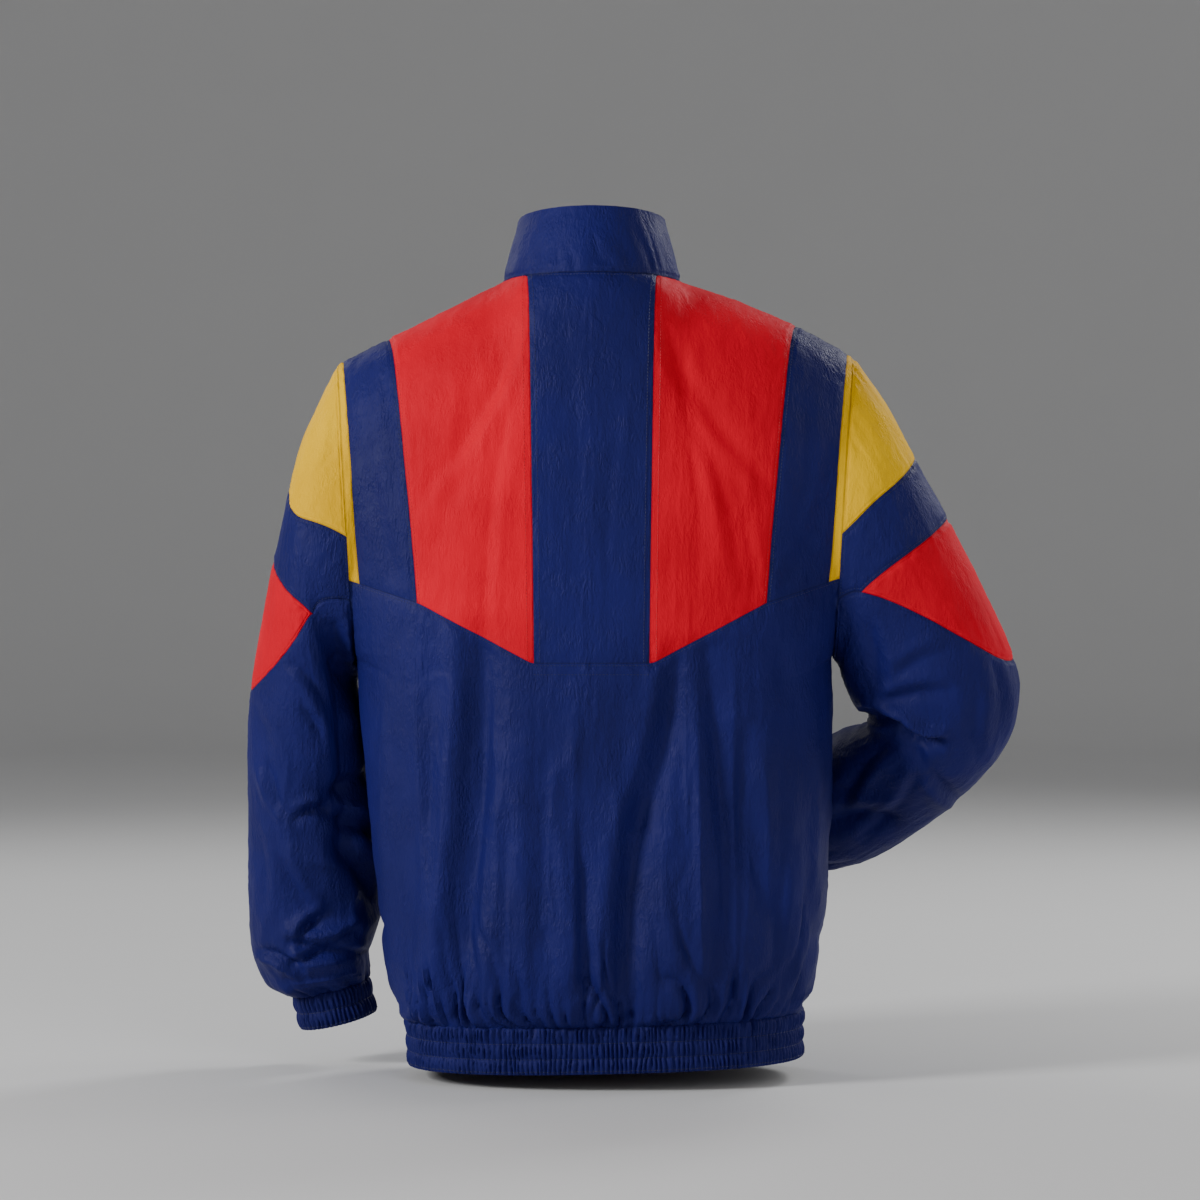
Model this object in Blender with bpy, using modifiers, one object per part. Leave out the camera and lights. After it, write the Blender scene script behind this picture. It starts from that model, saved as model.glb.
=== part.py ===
"""Windbreaker jacket, worn and hollow: every panel is a thin cloth wall.

Metres, +Z up, the front faces -Y and the wearer's left is +X.
The origin is the middle of the neck base, where the shoulders meet the collar.

The trunk and the sleeves are two smooth surfaces, each worked out from a short table of levels or
rings. Every panel is a patch of one of them, cut along its seams, and given a wall of cloth.
"""
import math

import bmesh
import bpy
import numpy as np
from mathutils import Matrix, Vector

# ------------------------------------------------------------------ driving sizes
WALL = 0.0016            # thickness of the cloth wall
SEAM_GAP = 0.0003        # clear space between two panels at a seam
ARMPIT_EASE = 0.0002     # added to it along the first row of the sleeve's band and lower part
POINT_SHARE = 0.85       # where a pointed panel stops, between its last column and its point
SIDES = (("left", 1.0), ("right", -1.0))

NECK_HALF_WIDTH = 0.080
NECK_CENTRE_Y = 0.010
NECK_DEPTH = 0.085       # neck centre to the back seam, and to the front seam
NECK_BACK_RISE = 0.003
NECK_FRONT_DROP = 0.055
COLLAR_HALF_WIDTH = 0.067
COLLAR_DEPTH = 0.074
COLLAR_HEIGHT = 0.056    # at the side of the neck
COLLAR_BACK_RISE = 0.004
COLLAR_FRONT_RISE = 0.010

ZIP_HALF_WIDTH = 0.0040  # middle of the zip to a front's edge
ZIP_TAPE_REACH = 0.014   # middle of the zip to the tape's outer edge, behind the front
ZIP_TAPE_WALL = 0.0010
ZIP_CHAIN_RISE = 0.0012
SLIDER_DROP = 0.012      # slider's middle below the top of the collar

BAND_HEIGHT = 0.040
BAND_RIBS = 90
BAND_TIERS = 3
CUFF_HEIGHT = 0.031
CUFF_RIBS = 28
CUFF_TIERS = 2
RIB_RISE = 0.0013        # height of a rib above the plain wall
STITCH_PULL = 0.0016     # how far an elastic's stitch row draws the rib in
GATHER_RISE = 0.0030     # gathers above the hem band

# Colours, roughness: navy, red and yellow crinkled nylon, and the zip's metal and tape.
NAVY = (0.016, 0.030, 0.160)
RED = (0.800, 0.028, 0.032)
YELLOW = (0.850, 0.480, 0.020)
TAPE = (0.010, 0.018, 0.090)
METAL = (0.020, 0.024, 0.050)

# ------------------------------------------------------------------ tables
# Trunk levels up to the yoke seam, by v: 0 is the hem seam and 1 the armpit. side_z and half_width
# place the side seam, back_z and front_z the middle, and lean tips the level down to the left.
TRUNK_COLUMNS = ("v", "side_z", "half_width", "shift_x", "back_z", "front_z", "roundness", "lean")
TRUNK = (
    (0.00, -0.6550, 0.1765, -0.0110, -0.6550, -0.6550, 2.50, 0.022),
    (0.06, -0.6370, 0.1865, -0.0095, -0.6400, -0.6400, 2.45, 0.020),
    (0.14, -0.6110, 0.1930, -0.0095, -0.6200, -0.6200, 2.40, 0.018),
    (0.30, -0.5590, 0.2000, -0.0095, -0.5860, -0.5860, 2.35, 0.012),
    (0.60, -0.4640, 0.2085, -0.0070, -0.5180, -0.5180, 2.35, 0.006),
    (1.00, -0.3350, 0.2137, -0.0020, -0.4280, -0.4300, 2.40, 0.000),
    (1.34, -0.2670, 0.2137, 0.0000, -0.3384, -0.3450, 2.40, 0.000),
)

# The trunk's depth at every level; 2 is the shoulder seam.
DEPTH_COLUMNS = ("v", "back_y", "front_y")
DEPTHS = (
    (0.00, 0.120, -0.112),
    (0.06, 0.130, -0.122),
    (0.14, 0.137, -0.131),
    (0.30, 0.140, -0.137),
    (0.60, 0.136, -0.140),
    (1.00, 0.129, -0.140),
    (1.34, 0.125, -0.137),
    (1.64, 0.117, -0.122),
    (1.82, 0.106, -0.098),
    (2.00, 0.095, -0.075),
)
NECK_PULL_V = 1.45       # from here up, a level is drawn over to the neck and the shoulder seam
# Armholes: shoulder tip and armpit, how far the hole bows back and forward, and how its top
# flares; arch lifts the middle of the shoulder seam above a straight line.
ARMHOLE_COLUMNS = ("tip_x", "tip_y", "tip_z", "pit_x", "pit_z", "bow_back", "bow_front", "flare",
                   "arch")
ARMHOLE = {
    "left": (0.2286, -0.005, -0.0718, 0.2117, -0.3350, 0.072, 0.066, 1.6, 0.000),
    "right": (-0.2345, -0.005, -0.0650, -0.2157, -0.3350, 0.072, 0.066, 1.6, 0.006),
}

# Sleeve rings after the armhole: the outer and the inner point, and the half depth across them.
RING_COLUMNS = ("s", "out_x", "out_y", "out_z", "in_x", "in_y", "in_z", "depth")
LEFT_RINGS = (
    (1.0, 0.2500, -0.006, -0.1200, 0.2165, -0.004, -0.3400, 0.075),
    (2.0, 0.2690, -0.008, -0.1830, 0.2165, -0.012, -0.3500, 0.074),
    (3.0, 0.2860, -0.010, -0.2480, 0.2145, -0.021, -0.3660, 0.072),
    (4.0, 0.2985, -0.014, -0.3050, 0.2105, -0.030, -0.3890, 0.070),
    (5.0, 0.3080, -0.020, -0.3580, 0.2065, -0.038, -0.4190, 0.067),
    (6.0, 0.3125, -0.028, -0.4120, 0.2015, -0.046, -0.4550, 0.064),
    (7.0, 0.3135, -0.037, -0.4680, 0.1965, -0.054, -0.4950, 0.062),
    (8.0, 0.3140, -0.046, -0.5240, 0.1920, -0.062, -0.5380, 0.060),
    (9.0, 0.3140, -0.055, -0.5720, 0.1945, -0.068, -0.5730, 0.059),
    (10.0, 0.3110, -0.062, -0.6100, 0.2045, -0.073, -0.6030, 0.057),
    (11.0, 0.3010, -0.067, -0.6350, 0.2050, -0.076, -0.6200, 0.051),
    (12.0, 0.2745, -0.070, -0.6480, 0.2065, -0.078, -0.6315, 0.034),
)
RIGHT_RINGS = (
    (1.0, -0.2660, -0.003, -0.1100, -0.2215, -0.003, -0.3420, 0.075),
    (2.0, -0.2960, 0.001, -0.1660, -0.2245, -0.006, -0.3520, 0.075),
    (3.0, -0.3250, 0.005, -0.2210, -0.2290, -0.009, -0.3630, 0.072),
    (4.0, -0.3510, 0.008, -0.2730, -0.2350, -0.012, -0.3750, 0.070),
    (5.0, -0.3740, 0.009, -0.3230, -0.2405, -0.017, -0.3850, 0.067),
    (6.0, -0.3840, 0.007, -0.3640, -0.2440, -0.026, -0.3920, 0.064),
    (7.0, -0.3770, -0.001, -0.4060, -0.2430, -0.040, -0.3970, 0.061),
    (8.0, -0.3560, -0.018, -0.4400, -0.2380, -0.057, -0.4010, 0.057),
    (9.0, -0.3240, -0.046, -0.4750, -0.2240, -0.084, -0.4070, 0.052),
    (10.0, -0.2880, -0.080, -0.5050, -0.2040, -0.114, -0.4190, 0.048),
    (11.0, -0.2500, -0.118, -0.5290, -0.1830, -0.143, -0.4370, 0.046),
    (12.0, -0.2060, -0.153, -0.5400, -0.1590, -0.166, -0.4700, 0.034),
)
RINGS = {"left": LEFT_RINGS, "right": RIGHT_RINGS}

# Seams across a sleeve: the ring of each on the outer line, and the ring of the red block's point.
# A seam's bend says how late it rises on its way to the armhole, or to that point.
CAP_END, BAND_END, RED_TIP_ANGLE = 101.0, 128.0, 110.0
SEAM_COLUMNS = ("cap", "band", "red", "tip")
SEAM_RINGS = {
    "left": (2.06, 2.98, 5.13, 1.85),
    "right": (1.84, 2.81, 5.30, 1.45),
}
SEAM_BEND = {
    "left": {"cap": 3.2, "band": 2.9, "red": 1.7},
    "right": {"cap": 2.9, "band": 2.7, "red": 2.1},
}

# Lengthwise lines of the back, in metres from the middle: the centre strip's edge, the neck point
# and the red panel's outer edge; slit is the width of the yellow strip along the armhole.
LINE_COLUMNS = ("v", "strip", "neck", "red", "slit")
BACK_LINES = (
    (0.00, 0.048, 0.074, 0.128, 0.018),
    (1.00, 0.050, 0.076, 0.148, 0.018),
    (1.34, 0.0501, 0.077, 0.153, 0.0082),
    (1.64, 0.0530, 0.078, 0.167, 0.0070),
    (2.00, 0.0575, NECK_HALF_WIDTH, 0.184, 0.0045),
)

# Rows of the trunk: armhole angles in degrees from the shoulder tip, shared with the sleeve.
ARMHOLE_STOPS = (0.0, 14.0, 27.0, 40.0, 53.0, 65.0, 77.0, 89.0, CAP_END, RED_TIP_ANGLE, 119.0,
                 BAND_END, 145.0, 162.0, 180.0)
YOKE_ANGLE = 119.0
YOKE_V = 2.0 - YOKE_ANGLE / 180.0
SIDE_SEAM_ROWS = 10

# The largest folds of the trunk: a soft trough (or ridge, where depth is negative) from one point
# to another. face is +1 on the back and -1 on the front.
FOLD_COLUMNS = ("face", "x0", "z0", "x1", "z1", "depth", "width")
TRUNK_FOLDS = (
    (1, 0.100, -0.330, 0.128, -0.640, 0.0075, 0.026),
    (1, 0.066, -0.420, 0.074, -0.640, -0.0050, 0.022),
    (1, -0.056, -0.335, -0.022, -0.630, 0.0085, 0.027),
    (1, -0.088, -0.340, -0.100, -0.640, 0.0060, 0.024),
    (1, -0.127, -0.400, -0.148, -0.560, 0.0050, 0.020),
    (1, 0.066, -0.050, 0.138, -0.190, 0.0040, 0.016),
    (1, -0.070, -0.050, -0.120, -0.170, 0.0035, 0.016),
    (-1, 0.110, -0.330, 0.085, -0.640, 0.0070, 0.026),
    (-1, -0.100, -0.350, -0.120, -0.640, 0.0065, 0.026),
    (-1, 0.150, -0.420, 0.140, -0.640, 0.0045, 0.020),
    (-1, -0.055, -0.450, -0.050, -0.640, 0.0050, 0.022),
)

# The largest folds of a sleeve, across it: ring, angle from the outer line, half length in
# degrees, depth and width in rings.
SLEEVE_FOLD_COLUMNS = ("ring", "angle", "reach", "depth", "width")
SLEEVE_FOLDS = {
    "left": ((6.5, 130.0, 75.0, 0.0080, 0.60), (8.6, 95.0, 70.0, 0.0060, 0.50),
             (10.6, 60.0, 90.0, 0.0050, 0.45), (8.0, -110.0, 70.0, 0.0060, 0.60)),
    "right": ((6.6, 150.0, 70.0, 0.0080, 0.60), (5.4, 165.0, 60.0, 0.0050, 0.50),
              (9.4, 60.0, 60.0, 0.0045, 0.60), (8.0, -130.0, 70.0, 0.0060, 0.60)),
}


# ------------------------------------------------------------------ reading the tables
def column(table, names, name):
    """One named column of a table, as an array."""
    return np.array([row[names.index(name)] for row in table], float)


def smooth_read(table, names, name, at):
    """A column read at a place between its rows, along a smooth curve through them."""
    places, values = column(table, names, names[0]), column(table, names, name)
    slopes = np.gradient(values, places)
    for i in range(1, len(values) - 1):
        before, after = values[i] - values[i - 1], values[i + 1] - values[i]
        if before * after <= 0.0:
            slopes[i] = 0.0
    i = int(np.clip(np.searchsorted(places, at) - 1, 0, len(places) - 2))
    step = places[i + 1] - places[i]
    u = (at - places[i]) / step
    return ((2 * u**3 - 3 * u**2 + 1) * values[i] + (u**3 - 2 * u**2 + u) * step * slopes[i]
            + (-2 * u**3 + 3 * u**2) * values[i + 1] + (u**3 - u**2) * step * slopes[i + 1])


def unit(vector):
    return vector / max(np.linalg.norm(vector), 1e-12)


def mix(a, b, share):
    return a + (b - a) * share


# ------------------------------------------------------------------ armhole and neck
def armhole_point(side, angle):
    """A point of the armhole seam. angle runs from the shoulder tip, + at the back, in degrees."""
    tip_x, tip_y, tip_z, pit_x, pit_z, bow_back, bow_front, flare, arch = ARMHOLE[side]
    turn = math.radians(angle)
    high = 0.5 + 0.5 * math.cos(turn)
    bow = bow_back if angle > 0 else bow_front
    return np.array((mix(pit_x, tip_x, high**flare),
                     tip_y * high + bow * math.sin(turn) * (1.0 - 0.15 * math.cos(turn)),
                     mix(pit_z, tip_z, high)))


def neck_point(turn):
    """A point of the neck seam. turn is in degrees from the middle of the back, + to the left."""
    sine, cosine = math.sin(math.radians(turn)), math.cos(math.radians(turn))
    height = NECK_BACK_RISE * cosine if cosine > 0 else -NECK_FRONT_DROP * cosine**2
    return np.array((NECK_HALF_WIDTH * sine, NECK_CENTRE_Y + NECK_DEPTH * cosine, height))


def collar_top_point(turn):
    """The point of the collar's top edge that stands over a point of the neck seam."""
    sine, cosine = math.sin(math.radians(turn)), math.cos(math.radians(turn))
    rise = COLLAR_BACK_RISE * cosine if cosine > 0 else -COLLAR_FRONT_RISE * cosine
    return np.array((COLLAR_HALF_WIDTH * sine, NECK_CENTRE_Y - 0.006 + COLLAR_DEPTH * cosine,
                     neck_point(turn)[2] + COLLAR_HEIGHT + rise))


# ------------------------------------------------------------------ the trunk's surface
def trunk_rows():
    """v of every row, from the hem seam up to the shoulder seam."""
    below = [i / SIDE_SEAM_ROWS for i in range(SIDE_SEAM_ROWS)]
    return below + [2.0 - angle / 180.0 for angle in reversed(ARMHOLE_STOPS)]


def side_edge(side, face, v):
    """The edge of the trunk's back or front at a level: the side seam, or the armhole."""
    if v > 1.0:
        return armhole_point(side, face * 180.0 * (2.0 - v))
    sign = dict(SIDES)[side]
    half, shift = (smooth_read(TRUNK, TRUNK_COLUMNS, name, v) for name in ("half_width", "shift_x"))
    x = shift + sign * half
    lean = smooth_read(TRUNK, TRUNK_COLUMNS, "lean", v)
    return np.array((x, 0.0, smooth_read(TRUNK, TRUNK_COLUMNS, "side_z", v) - lean * x))


def yoke_fall(share):
    """How far the yoke seam has risen from its middle height to its edge height, 0 to 1."""
    return float(np.interp(share, (0.245, 0.706, 1.0), (0.0, 0.72, 1.0)))


def half_span(side, face, v):
    """Distance across, from the middle line to the edge."""
    shift = smooth_read(TRUNK, TRUNK_COLUMNS, "shift_x", min(v, YOKE_V))
    return abs(side_edge(side, face, v)[0] - shift)


def shoulder_point(side, face, share):
    """The top row: the neck seam out to the neck point, then the shoulder seam to its tip."""
    sign, span = dict(SIDES)[side], half_span(side, face, 2.0)
    x = share * span
    if x <= NECK_HALF_WIDTH + 1e-6:
        turn = math.degrees(math.asin(min(x / NECK_HALF_WIDTH, 1.0)))
        return neck_point(sign * (turn if face > 0 else 180.0 - turn))
    run = (x - NECK_HALF_WIDTH) / (span - NECK_HALF_WIDTH)
    point = mix(neck_point(sign * 90.0), armhole_point(side, 0.0), run)
    point[2] += ARMHOLE[side][-1] * 4.0 * run * (1.0 - run)
    return point


def trunk_depth(side, face, share, v):
    """Y of the trunk at a level, before it is drawn over to the neck and the shoulder seam."""
    roundness = smooth_read(TRUNK, TRUNK_COLUMNS, "roundness", min(v, YOKE_V))
    oval = (1.0 - share**roundness) ** (1.0 / roundness)
    depth = smooth_read(DEPTHS, DEPTH_COLUMNS, "back_y" if face > 0 else "front_y", v)
    return depth * oval + side_edge(side, face, v)[1] * (1.0 - oval) ** 2.5


def trunk_point(side, face, share, v):
    """A point of the trunk. share runs from the middle, 0, to the side's edge, 1."""
    if v > 2.0 - 1e-6:
        return shoulder_point(side, face, share)
    low = min(v, YOKE_V)
    edge = side_edge(side, face, v)
    low_edge = side_edge(side, face, low)
    shift, middle_z, lean = (smooth_read(TRUNK, TRUNK_COLUMNS, name, low)
                             for name in ("shift_x", "back_z" if face > 0 else "front_z", "lean"))
    x = mix(shift, edge[0], share)
    y = trunk_depth(side, face, share, v)
    z = mix(middle_z, low_edge[2] + lean * low_edge[0], yoke_fall(share)) - lean * x
    if v > YOKE_V:
        top = shoulder_point(side, face, share)
        rise = (edge[2] - low_edge[2]) / (armhole_point(side, 0.0)[2] - low_edge[2])
        z = mix(z, top[2], rise)
        drawn = max((v - NECK_PULL_V) / (2.0 - NECK_PULL_V), 0.0) ** 3
        y += drawn * (top[1] - trunk_depth(side, face, share, 2.0))
    point = np.array((x, y, z))
    return point + trunk_crease(point, face, v, share)


def trunk_crease(point, face, v, share):
    """The largest folds, as a soft move in or out. They fade at the hem seam and the edges."""
    fade = min(v / 0.12, 1.0) * min((2.0 - v) / 0.15, 1.0) * min((1.0 - share) / 0.10, 1.0)
    move = 0.0
    for fold_face, x0, z0, x1, z1, depth, width in TRUNK_FOLDS:
        if fold_face != face:
            continue
        start, along = np.array((x0, z0)), np.array((x1 - x0, z1 - z0))
        offset = np.array((point[0], point[2])) - start
        length = np.linalg.norm(along)
        run = float(offset @ along) / length**2
        aside = abs(offset[0] * along[1] - offset[1] * along[0]) / length
        swell = math.sin(math.pi * np.clip((run + 0.08) / 1.16, 0.0, 1.0)) ** 0.6
        move -= depth * swell * math.exp(-(aside / width) ** 2)
    return np.array((0.0, face * move * max(fade, 0.0), 0.0))


def back_shares(side, face, v):
    """The shares of all the back's columns on one side, from the middle to the edge."""
    span = half_span(side, face, v)
    strip, neck, red, slit = (smooth_read(BACK_LINES, LINE_COLUMNS, name, v) / span
                              for name in LINE_COLUMNS[1:])
    lines = (0.0, strip, neck, red, 1.0 - slit, 1.0)
    counts = (2, 1, 4, 2, 2)
    shares = [0.0]
    for first, last, count in zip(lines, lines[1:], counts):
        shares += [mix(first, last, (i + 1) / count) for i in range(count)]
    return shares


STRIP_COLUMN, NECK_COLUMN, RED_COLUMN, SLIT_COLUMN, EDGE_COLUMN = 2, 3, 7, 9, 11


def front_shares(side, v):
    """The shares of a front's columns, from its zip edge to the side edge."""
    zip_share = ZIP_HALF_WIDTH / half_span(side, -1, v)
    beyond_neck = back_shares(side, -1, v)[NECK_COLUMN:]
    return [mix(zip_share, beyond_neck[0], i / 4) for i in range(4)] + beyond_neck


def gather(column_index, v):
    """Gathers above the hem band: every other column stands out, just above the seam."""
    if v <= 0.0 or v > 0.45:
        return 0.0
    return GATHER_RISE * (1 if column_index % 2 else -1) * math.exp(-v / 0.16)


def trunk_grid(side, face):
    """The whole back or front of one side: rows from the hem up, columns from the middle out."""
    grid = []
    for v in trunk_rows():
        shares = back_shares(side, face, v) if face > 0 else front_shares(side, v)
        row = []
        for index, share in enumerate(shares):
            point = trunk_point(side, face, share, v)
            out = unit(np.array((point[0] * 0.45, point[1], 0.0)))
            inner = (0 if face > 0 else 1) < index < len(shares) - 1
            row.append(point + out * (gather(index, v) if inner else 0.0))
        grid.append(row)
    return np.array(grid)


# ------------------------------------------------------------------ the sleeves' surface
def ring_read(side, name, s):
    """A column of a sleeve's rings, which start at the armhole with ring 0."""
    tip, pit = armhole_point(side, 0.0), armhole_point(side, 180.0)
    armhole_row = (0.0, *tip, *pit, 0.070)
    return smooth_read((armhole_row,) + RINGS[side], RING_COLUMNS, name, s)


def ring_ends(side, s):
    """The outer and the inner point of a sleeve's ring."""
    outer = np.array([ring_read(side, name, s) for name in ("out_x", "out_y", "out_z")])
    inner = np.array([ring_read(side, name, s) for name in ("in_x", "in_y", "in_z")])
    return outer, inner


def ring_frame(side, s):
    """Middle, outward half axis and backward half axis of a sleeve's ring."""
    outer, inner = ring_ends(side, s)
    last = RINGS[side][-1][0]
    ahead, behind = (sum(ring_ends(side, at)) / 2.0 for at in (min(s + 0.5, last), max(s - 0.5, 0.0)))
    outward = (outer - inner) / 2.0
    back = unit(np.cross(outward, ahead - behind)) * dict(SIDES)[side]
    return (outer + inner) / 2.0, outward, back * ring_read(side, "depth", s)


def sleeve_point(side, angle, s):
    """A point of a sleeve. angle runs from the outer line, + at the back, in degrees."""
    if s <= 0.0:
        return armhole_point(side, angle)
    middle, outward, back = ring_frame(side, s)
    turn = math.radians(angle)
    ring = middle + math.cos(turn) * outward + math.sin(turn) * back
    at_armhole = armhole_point(side, angle)
    middle_0, outward_0, back_0 = ring_frame(side, 0.0)
    plain = middle_0 + math.cos(turn) * outward_0 + math.sin(turn) * back_0
    settle = max(1.0 - s / 3.0, 0.0) ** 2
    point = ring + (at_armhole - plain) * settle
    return point + unit(point - middle) * sleeve_crease(side, angle, s)


def sleeve_crease(side, angle, s):
    """The largest folds of a sleeve. They fade towards its upper blocks and its cuff."""
    last = RINGS[side][-1][0]
    fade = np.clip((last - s) / 0.8, 0.0, 1.0) * np.clip((s - 4.5) / 1.0, 0.0, 1.0)
    move = 0.0
    for ring, at, reach, depth, width in SLEEVE_FOLDS[side]:
        away = abs((angle - at + 180.0) % 360.0 - 180.0) / reach
        if away < 1.0:
            move -= depth * math.cos(away * math.pi / 2) ** 2 * math.exp(-((s - ring) / width) ** 2)
    return move * fade


def seam_ring(side, name, angle):
    """The ring at which a seam across the sleeve crosses a lengthwise line."""
    away = abs(angle)
    start, tip = (SEAM_RINGS[side][SEAM_COLUMNS.index(column)] for column in (name, "tip"))
    if name == "cap":
        return start * max(1.0 - (away / CAP_END) ** SEAM_BEND[side][name], 0.0)
    if away >= RED_TIP_ANGLE:
        return tip * max((BAND_END - away) / (BAND_END - RED_TIP_ANGLE), 0.0)
    return mix(start, tip, (away / RED_TIP_ANGLE) ** SEAM_BEND[side][name])


def sleeve_patch(side, angles, upper, lower, rows):
    """A patch between two seams: rows from the upper to the lower one, a column for each angle."""
    grid = []
    for i in range(rows + 1):
        grid.append([sleeve_point(side, angle, mix(upper(angle), lower(angle), i / rows))
                     for angle in angles])
    return np.array(grid)


def mirrored(angles):
    """Angles on both sides of the outer line, front first."""
    return [-angle for angle in reversed(angles) if angle > 0] + list(angles)


# ------------------------------------------------------------------ cloth walls
def key(point):
    return tuple(np.round(point, 6))


class Garment:
    """All the outer surfaces, so that panels that share a seam share its normals as well."""

    def __init__(self):
        self.panels = []
        self.areas = {}

    def add(self, name, grid, colour, facing, around=False, pointed=False, level=None):
        """A panel. facing is +1 where its columns crossed with its rows point out of the garment.

        Panels of the trunk, of a sleeve and of the collar each share one smooth surface.

        around closes its columns to a tube, pointed says that both its ends run to a point, and
        level gives the normal of the plane that a row has to stay in.
        """
        self.panels.append((name, grid, colour, around, pointed, level or {}))
        surface = next((part for part in ("collar", "sleeve") if name.startswith(part)), "trunk")
        areas = self.areas.setdefault(surface, {})
        rows, columns = grid.shape[:2]
        for i in range(rows - 1):
            for j in range(columns if around else columns - 1):
                k = (j + 1) % columns
                corners = (grid[i, j], grid[i, k], grid[i + 1, k], grid[i + 1, j])
                area = facing * np.cross(corners[2] - corners[0], corners[3] - corners[1])
                for corner in corners:
                    areas[key(corner)] = areas.get(key(corner), 0.0) + area

    def normal(self, point):
        """Outward. At a seam between two surfaces it lies halfway between theirs."""
        return unit(sum(unit(areas[key(point)]) for areas in self.areas.values()
                        if key(point) in areas))

    def build(self, collection):
        for name, grid, colour, around, pointed, level in self.panels:
            normals = np.array([[self.normal(point) for point in row] for row in grid])
            for row, plane in level.items():
                for j in range(normals.shape[1]):
                    normals[row, j] = unit(normals[row, j] - (normals[row, j] @ plane) * plane)
            outer, inner = grid.copy(), grid - normals * WALL
            if pointed:
                blunt(outer)
                blunt(inner)
            ease = ARMPIT_EASE if around or name.startswith("sleeve_band") else 0.0
            wall_solid(name, outer, inner, colour, around, collection, ease)


def blunt(grid):
    """Stops a pointed patch a little before its points, on the same straight borders."""
    for tip, before in ((0, 1), (-1, -2)):
        grid[:, tip] = mix(grid[:, before], grid[:, tip], POINT_SHARE)


def inset(grid, around, ease):
    """The moves that draw a patch in along its borders, by half of the gap at a seam.

    ease draws its first row in further, where a sleeve folds back sharply against the trunk.
    """
    step = SEAM_GAP / 2.0
    moves = np.zeros_like(grid)
    for row, within, extra in ((0, 1, ease), (-1, -2, 0.0)):
        for j in range(grid.shape[1]):
            moves[row, j] += (step + extra) * unit(grid[within, j] - grid[row, j])
    if not around:
        for border, within in ((0, 1), (-1, -2)):
            for i in range(grid.shape[0]):
                moves[i, border] += step * unit(grid[i, within] - grid[i, border])
    return moves


def wall_solid(name, outer, inner, colour, around, collection, ease=0.0):
    """One closed wall between an outer and an inner grid of the same size."""
    rows, columns = outer.shape[:2]
    moves = inset(outer, around, ease)
    bm = bmesh.new()
    front, rear = ([[bm.verts.new(p) for p in row] for row in skin + moves]
                   for skin in (outer, inner))
    spans = [(j, (j + 1) % columns) for j in range(columns if around else columns - 1)]
    for skin in (front, rear):
        for i in range(rows - 1):
            for j, k in spans:
                bm.faces.new((skin[i][j], skin[i][k], skin[i + 1][k]))
                bm.faces.new((skin[i][j], skin[i + 1][k], skin[i + 1][j]))
    rim = [((i, j), (i, k)) for i in (0, rows - 1) for j, k in spans]
    if not around:
        rim += [((i, j), (i + 1, j)) for j in (0, columns - 1) for i in range(rows - 1)]
    for a, b in rim:
        if key(outer[a]) > key(outer[b]):
            a, b = b, a
        bm.faces.new((front[a[0]][a[1]], front[b[0]][b[1]], rear[b[0]][b[1]]))
        bm.faces.new((front[a[0]][a[1]], rear[b[0]][b[1]], rear[a[0]][a[1]]))
    finish_mesh(name, bm, colour, collection)


def finish_mesh(name, bm, colour, collection, metallic=0.0, roughness=0.6):
    bmesh.ops.recalc_face_normals(bm, faces=bm.faces)
    if bm.calc_volume(signed=True) < 0.0:
        bmesh.ops.reverse_faces(bm, faces=bm.faces)
    mesh = bpy.data.meshes.new(name)
    bm.to_mesh(mesh)
    bm.free()
    mesh.shade_smooth()
    mesh.set_sharp_from_angle(angle=math.radians(50.0))
    mesh.materials.append(material(name, colour, metallic, roughness))
    obj = bpy.data.objects.new(name, mesh)
    collection.objects.link(obj)
    return obj


def material(name, colour, metallic=0.0, roughness=0.6):
    finish = bpy.data.materials.new(name)
    finish.use_nodes = True
    shader = finish.node_tree.nodes["Principled BSDF"]
    shader.inputs["Base Color"].default_value = (*colour, 1.0)
    shader.inputs["Metallic"].default_value = metallic
    shader.inputs["Roughness"].default_value = roughness
    return finish


# ------------------------------------------------------------------ panels
YOKE_ROW = trunk_rows().index(YOKE_V)
HEM_LEAN = TRUNK[0][TRUNK_COLUMNS.index("lean")]
HEM_UP = unit(np.array((HEM_LEAN, 0.0, 1.0)))


def trunk_panels(garment, backs, fronts):
    """The yoke's panels, the lower back and the two fronts."""
    across = np.concatenate((backs["right"][:, ::-1], backs["left"][:, 1:]), axis=1)
    middle = EDGE_COLUMN
    garment.add("back_lower", across[:YOKE_ROW + 1], NAVY, -1, level={0: HEM_UP})
    garment.add("back_centre", across[YOKE_ROW:, middle - STRIP_COLUMN:middle + STRIP_COLUMN + 1],
                NAVY, -1)
    for side, sign in SIDES:
        yoke = backs[side][YOKE_ROW:]
        garment.add(f"back_red_{side}", yoke[:, STRIP_COLUMN:RED_COLUMN + 1], RED, -sign)
        garment.add(f"back_side_{side}", yoke[:, RED_COLUMN:SLIT_COLUMN + 1], NAVY, -sign)
        garment.add(f"back_yellow_{side}", yoke[:, SLIT_COLUMN:], YELLOW, -sign)
        garment.add(f"front_{side}", fronts[side], NAVY, sign, level={0: HEM_UP})


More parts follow.
